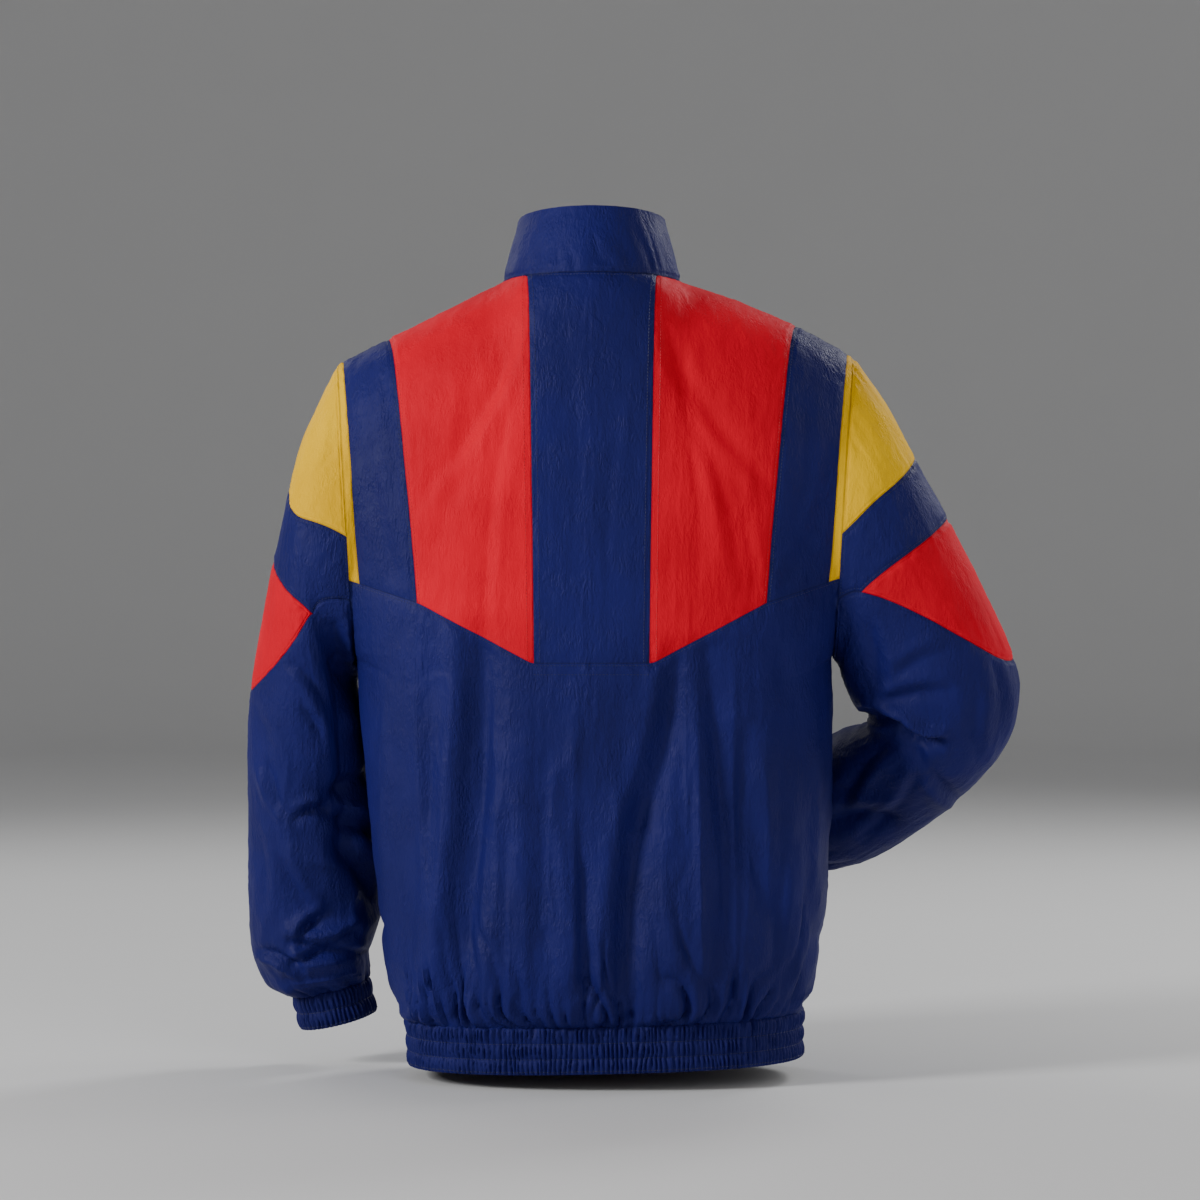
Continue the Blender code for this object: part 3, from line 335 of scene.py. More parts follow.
def trunk_depth(side, face, shares, v):
    """Y of the trunk at a level, before it is drawn over to the neck and the shoulder seam."""
    roundness = trunk_read("roundness", min(v, YOKE_V))
    oval = (1.0 - np.minimum(shares, 1.0)**roundness) ** (1.0 / roundness)
    depth = smooth_read(DEPTHS, DEPTH_COLUMNS, "back_y" if face > 0 else "front_y", v)
    return depth * oval + side_edge(side, face, v)[1] * (1.0 - oval) ** EDGE_PULL


def trunk_row(side, face, shares, v):
    """A level of the trunk. shares run from the middle, 0, to the side's edge, 1."""
    if v > 2.0 - 1e-6:
        return shoulder_row(side, face, shares)
    low = min(v, YOKE_V)
    edge, low_edge = side_edge(side, face, v), side_edge(side, face, low)
    lean = trunk_read("lean", low)
    middle_z = trunk_read("back_z" if face > 0 else "front_z", low)
    x = mix(trunk_read("shift_x", low), edge[0], shares)
    y = trunk_depth(side, face, shares, v)
    fall = np.interp(shares, FALL_SHARES, FALL)
    z = mix(middle_z, low_edge[2] + lean * low_edge[0], fall) - lean * x
    if v > YOKE_V:
        top = shoulder_row(side, face, shares)
        rise = (edge[2] - low_edge[2]) / (armhole_point(side, 0.0)[2] - low_edge[2])
        z = mix(z, top[:, 2], rise)
        drawn = max((v - NECK_PULL_V) / (2.0 - NECK_PULL_V), 0.0) ** 3
        y = y + drawn * (top[:, 1] - trunk_depth(side, face, shares, 2.0))
    points = np.stack((x, y, z), axis=-1)
    points[:, 1] += face * large_folds(points, face, v, shares)
    return points


def large_folds(points, face, v, shares):
    """The largest folds, as a soft move in or out. They fade at the hem seam and the edges."""
    fade = (min(v / HEM_FADE, 1.0) * min((2.0 - v) / SHOULDER_FADE, 1.0)
            * np.clip((1.0 - shares) / SIDE_FADE, 0.0, 1.0))
    move = np.zeros(len(points))
    for fold_face, x0, z0, x1, z1, depth, width in TRUNK_FOLDS:
        if fold_face == face:
            run, aside, length = along_line(points, x0, z0, x1, z1)
            share = np.clip((run + FOLD_OVERRUN) / (1.0 + 2.0 * FOLD_OVERRUN), 0.0, 1.0)
            swell = np.sin(math.pi * share) ** FOLD_BLUNTNESS
            move -= depth * swell * np.exp(-(aside / width) ** 2)
    return move * fade


def along_line(points, x0, z0, x1, z1):
    """How far points have run along a line seen from the front or back, and how far aside."""
    along = np.array((x1 - x0, z1 - z0))
    length = np.linalg.norm(along)
    offset = points[..., (0, 2)] - np.array((x0, z0))
    run = offset @ along / length**2
    aside = (offset[..., 0] * along[1] - offset[..., 1] * along[0]) / length
    return run, aside, length


def closer(cells):
    """Places from 0 to 1 that lie closer together near both ends."""
    t = np.linspace(0.0, 1.0, cells + 1)
    return t - CROWDING * np.sin(2.0 * math.pi * t)


def spread(lines, cells):
    """Cells between neighbouring lines, finer beside each line."""
    places = [lines[:1]]
    for low, high, count in zip(lines, lines[1:], cells):
        places.append(mix(low, high, closer(count)[1:]))
    return np.concatenate(places)


def back_shares(side, face, v):
    span = half_span(side, face, v)
    strip, neck, red, slit = (float(smooth_read(BACK_LINES, LINE_COLUMNS, name, v)) / span
                              for name in LINE_COLUMNS[1:])
    return spread(np.array((0.0, strip, neck, red, 1.0 - slit, 1.0)), BACK_CELLS)


def front_shares(side, v):
    zip_share = ZIP_HALF_WIDTH / half_span(side, -1, v)
    beyond_neck = back_shares(side, -1, v)[NECK_CELLS:]
    return np.concatenate((mix(zip_share, beyond_neck[0], closer(FRONT_CELLS)), beyond_neck[1:]))


def trunk_grid(side, face):
    """The whole back or front of one side: rows from the hem up, columns from the middle out."""
    return np.array([trunk_row(side, face, back_shares(side, face, v) if face > 0
                               else front_shares(side, v), v) for v in TRUNK_ROWS])


# ------------------------------------------------------------------ the sleeves' surface
def ring_read(side, name, s):
    """A column of a sleeve's rings, which start at the armhole with ring 0."""
    tip, pit = armhole_point(side, 0.0), armhole_point(side, 180.0)
    armhole_row = (0.0, *tip, *pit, ARMHOLE_DEPTH)
    return smooth_read((armhole_row,) + RINGS[side], RING_COLUMNS, name, s)


def ring_ends(side, s):
    outer = np.stack([ring_read(side, name, s) for name in ("out_x", "out_y", "out_z")], axis=-1)
    inner = np.stack([ring_read(side, name, s) for name in ("in_x", "in_y", "in_z")], axis=-1)
    return outer, inner


def ring_frame(side, s):
    """Middle, outward half axis and backward half axis of a sleeve's rings."""
    outer, inner = ring_ends(side, s)
    last = RINGS[side][-1][0]
    ahead, behind = (sum(ring_ends(side, at)) / 2.0
                     for at in (np.minimum(s + 0.5, last), np.maximum(s - 0.5, 0.0)))
    outward = (outer - inner) / 2.0
    back = unit(np.cross(outward, ahead - behind)) * SIDES[side]
    return (outer + inner) / 2.0, outward, back * ring_read(side, "depth", s)[..., None]


def sleeve_point(side, angle, s):
    """Points of a sleeve. angle runs from the outer line, + at the back, in degrees."""
    angle, s = np.asarray(angle, float), np.asarray(s, float)
    middle, outward, back = ring_frame(side, s)
    turn = np.radians(angle)[..., None]
    ring = middle + np.cos(turn) * outward + np.sin(turn) * back
    middle_0, outward_0, back_0 = ring_frame(side, np.zeros_like(s))
    plain = middle_0 + np.cos(turn) * outward_0 + np.sin(turn) * back_0
    settle = np.maximum(1.0 - s / SETTLE_RINGS, 0.0)[..., None] ** 2
    point = ring + (armhole_point(side, angle) - plain) * settle
    point = point + unit(point - middle) * sleeve_folds(side, angle, s)[..., None]
    return np.where((s <= 0.0)[..., None], armhole_point(side, angle), point)


def sleeve_folds(side, angle, s):
    """The largest folds of a sleeve. They fade towards its upper blocks and its cuff."""
    last = RINGS[side][-1][0]
    fade = (np.clip((last - s) / CUFF_FADE, 0.0, 1.0)
            * np.clip((s - SLEEVE_FOLD_START) / SLEEVE_FOLD_FADE, 0.0, 1.0))
    move = np.zeros_like(s)
    for ring, at, reach, depth, width in SLEEVE_FOLDS[side]:
        away = np.abs((angle - at + 180.0) % 360.0 - 180.0) / reach
        swell = np.where(away < 1.0, np.cos(np.minimum(away, 1.0) * math.pi / 2) ** 2, 0.0)
        move -= depth * swell * np.exp(-((s - ring) / width) ** 2)
    return move * fade


def seam_ring(side, name, angle):
    """The ring at which a seam across the sleeve crosses each lengthwise line."""
    away = np.abs(angle)
    start, tip = (SEAM_RINGS[side][SEAM_COLUMNS.index(column)] for column in (name, "tip"))
    if name == "cap":
        return start * np.maximum(1.0 - (away / CAP_END) ** SEAM_BEND[side][name], 0.0)
    flat = mix(start, tip, np.minimum(away / RED_TIP_ANGLE, 1.0) ** SEAM_BEND[side][name])
    short = tip * np.maximum((BAND_END - away) / (BAND_END - RED_TIP_ANGLE), 0.0)
    return np.where(away >= RED_TIP_ANGLE, short, flat)


def sleeve_patch(side, angles, upper, lower, rows):
    """A patch between two seams: rows from the upper to the lower one, a column for each angle."""
    shares = closer(rows)[:, None]
    return sleeve_point(side, np.tile(angles, (rows + 1, 1)), mix(upper, lower, shares))


def mirrored(angles):
    """Angles on both sides of the outer line, front first."""
    return np.array([-angle for angle in reversed(angles) if angle > 0] + list(angles))


def cuff_axis(side):
    """The way out of a sleeve at its cuff."""
    last = RINGS[side][-1][0]
    middle, outward, back = ring_frame(side, np.array(last))
    axis = unit(np.cross(outward, back))
    return axis * math.copysign(1.0, axis @ (middle - ring_frame(side, np.array(last - 1.0))[0]))


# ------------------------------------------------------------------ noise
# Odd 64-bit factors that scramble a lattice point's three numbers, and then their sum.
SCRAMBLE = [np.uint64(factor) for factor in
            (0x9E3779B97F4A7C15, 0xC2B2AE3D27D4EB4F, 0x165667B19E3779F9)]
STIR = [(np.uint64(29), np.uint64(0xBF58476D1CE4E5B9)),
        (np.uint64(32), np.uint64(0x94D049BB133111EB)), (np.uint64(29), np.uint64(1))]
SEED_STEP = 7919
RANDOM_BITS = 24


def lattice(cells, seed):
    """An even random number from 0 to 1 for each whole point of a lattice."""
    places = cells.astype(np.int64).astype(np.uint64)
    with np.errstate(over="ignore"):
        mixed = sum(places[..., k] * SCRAMBLE[k] for k in range(3))
        mixed = mixed + np.uint64(seed * SEED_STEP + 1)
        for shift, factor in STIR:
            mixed = (mixed ^ (mixed >> shift)) * factor
    return (mixed >> np.uint64(64 - RANDOM_BITS)).astype(float) / float(1 << RANDOM_BITS)


def noise(points, size, seed):
    """Smooth noise from -1 to 1. size is a patch's length along X, Y and Z, in metres."""
    at = points / np.asarray(size, float)
    cell = np.floor(at)
    t = at - cell
    t = t * t * t * (t * (t * 6.0 - 15.0) + 10.0)
    total = 0.0
    for corner in range(8):
        step = np.array((corner & 1, corner >> 1 & 1, corner >> 2 & 1))
        weight = np.prod(np.where(step, t, 1.0 - t), axis=-1)
        total = total + weight * lattice(cell + step, seed)
    return total * 2.0 - 1.0


RIDGE_SHARPNESS = 1.6


def creased(points, size, seed):
    """Noise with sharp little ridges, 0 to 1."""
    return (1.0 - np.abs(noise(points, size, seed)) * RIDGE_SHARPNESS).clip(0.0, 1.0) ** 2


# ------------------------------------------------------------------ listed folds
# Each fold is a soft trough with a ridge beside it: face, x0, z0, x1, z1, depth, width, bend and
# ridge. Face is +1 on the back and -1 on the front, the ends are seen from there, bend bows the
# line sideways by a share of its length, and the ridge stands on the side its sign gives.
CREASES = {
    "trunk": (
        (1, 0.0940, -0.3150, 0.1200, -0.6450, 0.0095, 0.0135, 0.02, -0.8),
        (1, 0.0720, -0.4700, 0.0760, -0.6350, 0.0032, 0.0104, -0.02, -0.5),
        (1, 0.0400, -0.3900, 0.0480, -0.6300, 0.0023, 0.0130, 0.02, 0.5),
        (1, 0.1400, -0.3500, 0.1560, -0.5600, 0.0029, 0.0130, 0.03, 0.5),
        (1, 0.1600, -0.4800, 0.1640, -0.6350, 0.0035, 0.0104, -0.03, 0.5),
        (1, 0.0180, -0.4400, 0.0040, -0.6400, 0.0046, 0.0100, 0.02, -0.7),
        (1, -0.0760, -0.3300, -0.0450, -0.4750, 0.0075, 0.0120, 0.03, -0.7),
        (1, -0.0450, -0.4600, -0.0330, -0.6450, 0.0080, 0.0125, -0.03, -0.7),
        (1, -0.1000, -0.3270, -0.1080, -0.6400, 0.0065, 0.0110, 0.03, -0.7),
        (1, -0.1328, -0.4050, -0.1501, -0.5440, 0.0049, 0.0111, -0.05, 0.6),
        (1, -0.1180, -0.4600, -0.1260, -0.6350, 0.0035, 0.0097, 0.03, -0.6),
        (1, -0.1640, -0.3300, -0.1720, -0.4700, 0.0032, 0.0104, 0.04, 0.5),
        (1, -0.1700, -0.5000, -0.1660, -0.6350, 0.0038, 0.0091, -0.03, 0.5),
        (1, 0.0664, -0.0500, 0.1400, -0.1800, 0.0024, 0.0070, 0.06, 0.7),
        (1, 0.0750, -0.1280, 0.0924, -0.3000, 0.0016, 0.0070, -0.03, 0.6),
        (1, 0.1050, -0.0900, 0.1340, -0.2300, 0.0014, 0.0080, 0.04, -0.6),
        (1, -0.0618, -0.0415, -0.1458, -0.1714, 0.0024, 0.0070, -0.06, -0.7),
        (1, -0.0640, -0.0500, -0.0950, -0.2600, 0.0018, 0.0080, 0.04, 0.6),
        (1, -0.0650, -0.0760, -0.1280, -0.2550, 0.0018, 0.0065, 0.05, -0.6),
        (1, -0.1250, -0.1800, -0.1420, -0.2750, 0.0012, 0.0060, 0.03, 0.6),
        (1, 0.1850, -0.0900, 0.1720, -0.1900, 0.0018, 0.0060, 0.05, 0.6),
        (1, 0.1930, -0.1700, 0.1720, -0.2600, 0.0014, 0.0060, -0.04, 0.5),
        (1, -0.1850, -0.1000, -0.1780, -0.2300, 0.0016, 0.0060, 0.05, 0.5),
        (1, -0.2000, -0.2000, -0.1650, -0.2700, 0.0016, 0.0060, 0.05, -0.5),
        (1, 0.0220, -0.0500, 0.0180, -0.2600, 0.0008, 0.0080, 0.03, 0.5),
        (1, -0.0260, -0.0800, -0.0180, -0.3100, 0.0009, 0.0070, -0.03, 0.5),
        (-1, 0.1100, -0.3100, 0.0820, -0.6300, 0.0055, 0.0143, 0.03, 0.6),
        (-1, -0.1000, -0.3300, -0.1200, -0.6300, 0.0058, 0.0137, -0.03, -0.6),
        (-1, 0.1500, -0.4000, 0.1380, -0.6300, 0.0043, 0.0117, 0.03, 0.5),
        (-1, -0.0480, -0.4200, -0.0420, -0.6300, 0.0038, 0.0117, -0.02, 0.6),
        (-1, 0.0460, -0.4500, 0.0380, -0.6300, 0.0032, 0.0111, 0.03, -0.5),
        (-1, -0.1580, -0.4200, -0.1500, -0.6200, 0.0041, 0.0104, 0.03, 0.5),
        (-1, 0.0600, -0.0800, 0.1300, -0.2200, 0.0024, 0.0085, 0.05, 0.6),
        (-1, -0.0600, -0.0900, -0.1350, -0.2400, 0.0026, 0.0085, -0.05, -0.6),
        (-1, 0.0900, -0.0600, 0.1700, -0.1700, 0.0016, 0.0075, 0.05, 0.6),
        (-1, -0.1000, -0.0700, -0.1750, -0.1800, 0.0016, 0.0075, -0.05, 0.6),
        (-1, 0.1900, -0.2500, 0.0900, -0.3000, 0.0026, 0.0100, 0.08, 0.5),
        (-1, -0.1950, -0.2550, -0.0950, -0.3150, 0.0028, 0.0100, -0.08, 0.5),
    ),
    "left": (
        (1, 0.2275, -0.3100, 0.2215, -0.5154, 0.0085, 0.0085, 0.02, 0.5),
        (1, 0.2125, -0.2950, 0.2125, -0.3950, -0.0085, 0.0070, 0.00, 0.1),
        (1, 0.2278, -0.3400, 0.2180, -0.3775, 0.0069, 0.0055, 0.12, 0.7),
        (1, 0.2643, -0.3419, 0.2376, -0.3730, 0.0045, 0.0055, 0.08, -0.6),
        (1, 0.2571, -0.3820, 0.2420, -0.4040, 0.0045, 0.0050, 0.08, 0.6),
        (1, 0.2020, -0.4380, 0.2340, -0.4640, 0.0135, 0.0085, 0.10, 0.5),
        (1, 0.2910, -0.4350, 0.2687, -0.4798, 0.0057, 0.0052, -0.08, -0.7),
        (1, 0.2650, -0.4800, 0.2350, -0.4727, 0.0063, 0.0050, 0.10, 0.7),
        (1, 0.2376, -0.4727, 0.1957, -0.5065, 0.0078, 0.0062, 0.08, 0.7),
        (1, 0.2250, -0.5050, 0.1930, -0.5644, 0.0128, 0.0095, 0.08, 0.5),
        (1, 0.2800, -0.5150, 0.2560, -0.5600, 0.0045, 0.0060, -0.06, 0.6),
        (1, 0.2625, -0.5910, 0.2400, -0.5680, 0.0060, 0.0048, 0.12, 0.7),
        (1, 0.2720, -0.5930, 0.2150, -0.5866, 0.0090, 0.0058, -0.14, 0.7),
        (1, 0.2999, -0.6020, 0.2640, -0.6204, 0.0063, 0.0046, 0.10, -0.7),
        (1, 0.2714, -0.6150, 0.2080, -0.6062, 0.0075, 0.0050, 0.10, 0.6),
        (1, 0.3020, -0.3800, 0.2920, -0.4300, 0.0027, 0.0060, 0.05, 0.5),
        (1, 0.3050, -0.4900, 0.2980, -0.5600, 0.0030, 0.0060, 0.05, 0.5),
        (1, 0.2450, -0.1200, 0.2600, -0.1750, 0.0021, 0.0060, 0.05, 0.5),
        (-1, 0.2900, -0.4200, 0.2350, -0.4600, 0.0090, 0.0080, 0.10, 0.6),
        (-1, 0.2950, -0.5000, 0.2450, -0.5350, 0.0075, 0.0070, -0.10, 0.6),
        (-1, 0.2850, -0.5750, 0.2300, -0.5950, 0.0075, 0.0060, 0.10, -0.6),
        (-1, 0.2750, -0.3700, 0.2350, -0.4050, 0.0054, 0.0070, 0.08, 0.6),
        (-1, 0.2700, -0.6150, 0.2200, -0.6100, 0.0060, 0.0050, 0.10, 0.6),
    ),
    "right": (
        (1, -0.2420, -0.3870, -0.2800, -0.4028, 0.0150, 0.0068, 0.05, 0.8),
        (1, -0.2800, -0.4028, -0.3080, -0.4110, 0.0125, 0.0052, -0.10, 0.8),
        (1, -0.2817, -0.4150, -0.2952, -0.4300, 0.0039, 0.0050, 0.10, 0.6),
        (1, -0.3330, -0.4640, -0.3042, -0.4415, 0.0065, 0.0060, 0.08, 0.6),
        (1, -0.2150, -0.4900, -0.2727, -0.4870, 0.0091, 0.0090, 0.10, 0.5),
        (1, -0.2500, -0.3820, -0.3132, -0.3650, 0.0052, 0.0070, 0.08, 0.6),
        (1, -0.2650, -0.3560, -0.3100, -0.3300, 0.0031, 0.0070, 0.08, 0.6),
        (1, -0.2600, -0.4150, -0.2300, -0.4700, 0.0047, 0.0065, -0.08, 0.6),
        (1, -0.2900, -0.4450, -0.2500, -0.5000, 0.0034, 0.0060, 0.08, -0.6),
        (1, -0.3560, -0.3400, -0.3640, -0.4000, 0.0029, 0.0060, 0.05, 0.6),
        (1, -0.3400, -0.3700, -0.3450, -0.4300, 0.0026, 0.0065, -0.06, 0.6),
        (1, -0.2450, -0.3100, -0.2500, -0.3700, 0.0039, 0.0075, 0.06, 0.6),
        (1, -0.2750, -0.1200, -0.3020, -0.1900, 0.0018, 0.0060, 0.05, 0.5),
        (-1, -0.2500, -0.3900, -0.3200, -0.4000, 0.0104, 0.0080, 0.08, 0.5),
        (-1, -0.2500, -0.3700, -0.3150, -0.3550, 0.0065, 0.0075, 0.08, 0.6),
        (-1, -0.3300, -0.4400, -0.2600, -0.4500, 0.0065, 0.0075, 0.10, 0.6),
        (-1, -0.3000, -0.4700, -0.2300, -0.4900, 0.0059, 0.0070, -0.10, 0.6),
        (-1, -0.3500, -0.3500, -0.3550, -0.4100, 0.0039, 0.0070, 0.06, 0.6),
        (-1, -0.2400, -0.4500, -0.1900, -0.5000, 0.0052, 0.0065, 0.08, 0.6),
    ),
}
RIDGE_PLACE, RIDGE_WIDTH = 1.7, 0.9      # beside the trough, in widths of the fold
TROUGH_POWER = 1.5                       # below 2, so that the bottom of a fold is sharp
SHALLOW_END, DEEP_PART = 0.25, 0.75      # a fold's depth at its ends, and what its middle adds
END_SHARE = 0.12                         # how far up its swell a fold starts
FACING = (-0.25, 0.40)                   # a fold fades where the cloth turns from its side


def crease_relief(region, points, normals):
    """The listed folds of a region, as a move along the normals."""
    move = np.zeros(points.shape[:-1])
    for face, x0, z0, x1, z1, depth, width, bend, ridge in CREASES[region]:
        run, aside, length = along_line(points, x0, z0, x1, z1)
        t = np.clip(run, 0.0, 1.0)
        aside = aside - bend * length * 4.0 * t * (1.0 - t)
        past = np.maximum(np.abs(run - 0.5) - 0.5, 0.0) * length
        swell = np.sin(math.pi * mix(END_SHARE, 1.0 - END_SHARE, t))
        ends = np.exp(-(past / width) ** 2) * (SHALLOW_END + DEEP_PART * swell)
        from_ridge = aside / width - math.copysign(RIDGE_PLACE, ridge)
        shape = (-np.exp(-np.abs(aside / width) ** TROUGH_POWER)
                 + abs(ridge) * np.exp(-(from_ridge / RIDGE_WIDTH) ** 2))
        move += depth * shape * ends * fade_in(normals[..., 1] * face, *FACING)
    return move


# The crinkle's two sizes of ridge, their heights, and the share of a height that lies below the
# cloth's middle. The finer one wanders by CRINKLE_WANDER.
COARSE_CRINKLE, COARSE_HEIGHT = (0.013, 0.013, 0.034), 0.00050
FINE_CRINKLE, FINE_HEIGHT = (0.0062, 0.0062, 0.017), 0.00048
CRINKLE_WANDER, WANDER_SIZE = 0.003, (0.02, 0.02, 0.02)
CRINKLE_LEVEL = 0.35
# Rumpled folds: their drift, their level, and the size and height of the finer ones.
RUMPLE_DRIFT, DRIFT_SIZE, RUMPLE_LEVEL = 0.35, 1.7, 0.40
FINER_RUMPLE, FINER_HEIGHT = 0.52, 0.45


def crinkle(points):
    """The crinkle of the nylon: little ridges that run along Z."""
    coarse = creased(points, COARSE_CRINKLE, 3)
    wander = noise(points, WANDER_SIZE, 8)[..., None] * CRINKLE_WANDER
    fine = creased(points + wander, FINE_CRINKLE, 5)
    return COARSE_HEIGHT * (coarse - CRINKLE_LEVEL) + FINE_HEIGHT * (fine - CRINKLE_LEVEL)


def rumple(points, across, along, seed):
    """Soft irregular folds of two sizes, in metres. across is their length round the body."""
    big = np.array((across, across, along))
    drift = noise(points, big * DRIFT_SIZE, seed + 1)[..., None] * RUMPLE_DRIFT * min(across, along)
    fine = creased(points - drift, big * FINER_RUMPLE, seed + 2) - RUMPLE_LEVEL
    return creased(points + drift, big, seed) - RUMPLE_LEVEL + FINER_HEIGHT * fine


# ------------------------------------------------------------------ materials
class Wire:
    """A socket's value in a shader, with the sums that are used on it."""

    def __init__(self, finish, socket):
        self.finish, self.socket = finish, socket

    def math(self, operation, *values):
        return self.finish.math(operation, *values)

    def __add__(self, other):
        return self.math("ADD", self, other)

    def __radd__(self, other):
        return self.math("ADD", other, self)

    def __sub__(self, other):
        return self.math("SUBTRACT", self, other)

    def __rsub__(self, other):
        return self.math("SUBTRACT", other, self)

    def __mul__(self, other):
        return self.math("MULTIPLY", self, other)

    def __rmul__(self, other):
        return self.math("MULTIPLY", other, self)


class Finish:
    """A procedural material, built node by node."""

    def __init__(self, name, colour, roughness, **constants):
        self.material = bpy.data.materials.new(name)
        self.material.use_nodes = True
        self.tree = self.material.node_tree
        self.shader = self.tree.nodes["Principled BSDF"]
        self.shader.inputs["Base Color"].default_value = (*colour, 1.0)
        self.shader.inputs["Roughness"].default_value = roughness
        self.set(**constants)

    def math(self, operation, *values):
        return self.node("ShaderNodeMath", {"operation": operation}, values)

    def put(self, socket, value):
        if isinstance(value, Wire):
            self.tree.links.new(value.socket, socket)
        else:
            socket.default_value = value

    def node(self, kind, settings, values=(), output=0):
        """A node of a kind. settings come first, then its sockets' values, by place or by name."""
        made = self.tree.nodes.new(kind)
        for setting, value in settings.items():
            setattr(made, setting, value)
        pairs = values.items() if isinstance(values, dict) else enumerate(values)
        for socket, value in pairs:
            self.put(made.inputs[socket], value)
        return Wire(self, made.outputs[output])

    def place(self, scale):
        """The point on the object, in metres, stretched."""
        point = self.node("ShaderNodeTexCoord", {}, output="Object")
        return self.node("ShaderNodeVectorMath", {"operation": "MULTIPLY"}, (point, scale))

    def noise(self, scale, detail=3.0, lengthwise=1.0):
        """Noise with scale patches to a metre. lengthwise below 1 draws them out along Z."""
        place = self.place((1.0, 1.0, lengthwise))
        return self.node("ShaderNodeTexNoise", {}, {"Vector": place, "Scale": scale,
                                                    "Detail": detail, "Roughness": 0.5})

    def attribute(self, name):
        return self.node("ShaderNodeAttribute", {"attribute_name": name}, output="Fac")

    def blend(self, share, low, high):
        """A colour between low and high, by a share from 0 to 1."""
        low, high = (colour if isinstance(colour, Wire) else (*colour, 1.0)
                     for colour in (low, high))
        return self.node("ShaderNodeMix", {"data_type": "RGBA"}, {0: share, 6: low, 7: high}, 2)

    def between(self, value, low, high, to_low=0.0, to_high=1.0):
        """to_low where value is at low, to_high where it is at high, and smoothly between."""
        return self.node("ShaderNodeMapRange", {"interpolation_type": "SMOOTHSTEP"},
                         (value, low, high, to_low, to_high))

    def bump(self, height, strength, distance, under=None):
        values = {"Strength": strength, "Distance": distance, "Height": height}
        if under is not None:
            values["Normal"] = under
        return self.node("ShaderNodeBump", {}, values)

    def set(self, **sockets):
        """Feeds the shader's sockets, each named with _ for its spaces."""
        for socket, value in sockets.items():
            self.put(self.shader.inputs[socket.replace("_", " ")], value)
        return self.material


def shade(colour, gain):
    return tuple(min(channel * gain, 1.0) for channel in colour)


# The patterns of the finishes: patches to a metre, how much detail each has and, where it is drawn
# out along Z, by what share.
CLOUDS, FLECKS, WEAR, GLOSS = (9.0, 4.0), (900.0, 2.0, 0.35), (160.0, 4.0), (60.0, 5.0, 0.3)
WANDER, LARGE_RIDGES, SMALL_RIDGES = (34.0, 2.0), (250.0, 2.0, 0.34), (520.0, 2.0, 0.45)
RIDGE_PATCHES, THREADS, TWIST = (42.0, 3.0), (1600.0, 2.0), (3000.0, 2.0)
ROWS = (1400.0, 2.0, 0.25)
SCRATCHES, POLISH, GRAIN, CAST = (700.0, 5.0), (1200.0, 4.0), (2500.0, 3.0), (900.0, 4.0)


def nylon(name, colour, worn, roughness=0.56, crinkled=0.60, sheen=0.16):
    """Crinkled nylon: a fine weave, small crinkles, a little wear along its seams, and painted
    shade in them.
    """
    finish = Finish(name, colour, roughness, Specular_IOR_Level=sheen)
    seam = finish.attribute("seam")

    clouds = finish.between(finish.noise(*CLOUDS), 0.30, 0.72)
    flecks = finish.between(finish.noise(*FLECKS), 0.50, 0.80, 0.0, 0.12)
    rubbed = finish.between(finish.noise(*WEAR) * seam, 0.35, 0.75, 0.0, 0.20)
    # Painted shade: right at a seam the cloth is darkened, as if shadowed in the sunken seam.
    painted_seam_shade = finish.between(seam, 0.84, 1.0, 0.0, 0.60)
    tone = finish.blend(clouds, shade(colour, 0.88), shade(colour, 1.12))
    tone = finish.blend(rubbed, finish.blend(flecks, tone, worn), worn)
    tone = finish.blend(painted_seam_shade, tone, shade(colour, 0.40))

    wander = finish.noise(*WANDER) * 0.9
    large = (finish.noise(*LARGE_RIDGES) + wander * 0.10) * 5.0 - 2.7
    small = finish.noise(*SMALL_RIDGES) * 4.0 - 2.0
    large, small = (finish.math("MAXIMUM", 1.0 - finish.math("ABSOLUTE", ridges), 0.0)
                    for ridges in (large, small))
    patches = finish.between(finish.noise(*RIDGE_PATCHES), 0.38, 0.66, 0.35, 1.0)
    threads = finish.bump(finish.noise(*THREADS), 0.10, 0.0004)
    crinkles = (large * 0.7 + small * 0.4) * patches
    return finish.set(Base_Color=tone,
                      Roughness=finish.noise(*GLOSS) * 0.20 + (roughness - 0.10),
                      Normal=finish.bump(crinkles, crinkled, 0.0012, threads))


def metal(name, paint, bare):
    """Painted metal, rubbed bare in places."""
    finish = Finish(name, paint, 0.34, Metallic=0.75)
    rubbed = finish.between(finish.noise(*SCRATCHES), 0.58, 0.74)
    return finish.set(Base_Color=finish.blend(rubbed, paint, bare),
                      Roughness=finish.noise(*POLISH) * 0.25 + 0.22,
                      Normal=finish.bump(finish.noise(*GRAIN), 0.12, 0.0002))


def tape(name, colour, dark, light):
    """Woven tape with rows across it."""
    finish = Finish(name, colour, 0.68, Sheen_Weight=0.15)
    rows = finish.noise(*ROWS)
    return finish.set(Base_Color=finish.blend(rows, dark, light),
                      Normal=finish.bump(rows, 0.40, 0.0003))


def moulded(name, colour, dark, light):
    """Moulded plastic, a little cloudy."""
    finish = Finish(name, colour, 0.38, Specular_IOR_Level=0.50)
    cast = finish.noise(*CAST)
    return finish.set(Base_Color=finish.blend(cast, dark, light), Roughness=cast * 0.20 + 0.28)


def thread(name, colour):
    """Twisted sewing thread."""
    finish = Finish(name, colour, 0.55, Sheen_Weight=0.20)
    twist = finish.noise(*TWIST)
    return finish.set(Base_Color=finish.blend(twist, shade(colour, 0.75), shade(colour, 1.35)),
                      Normal=finish.bump(twist, 0.30, 0.0002))


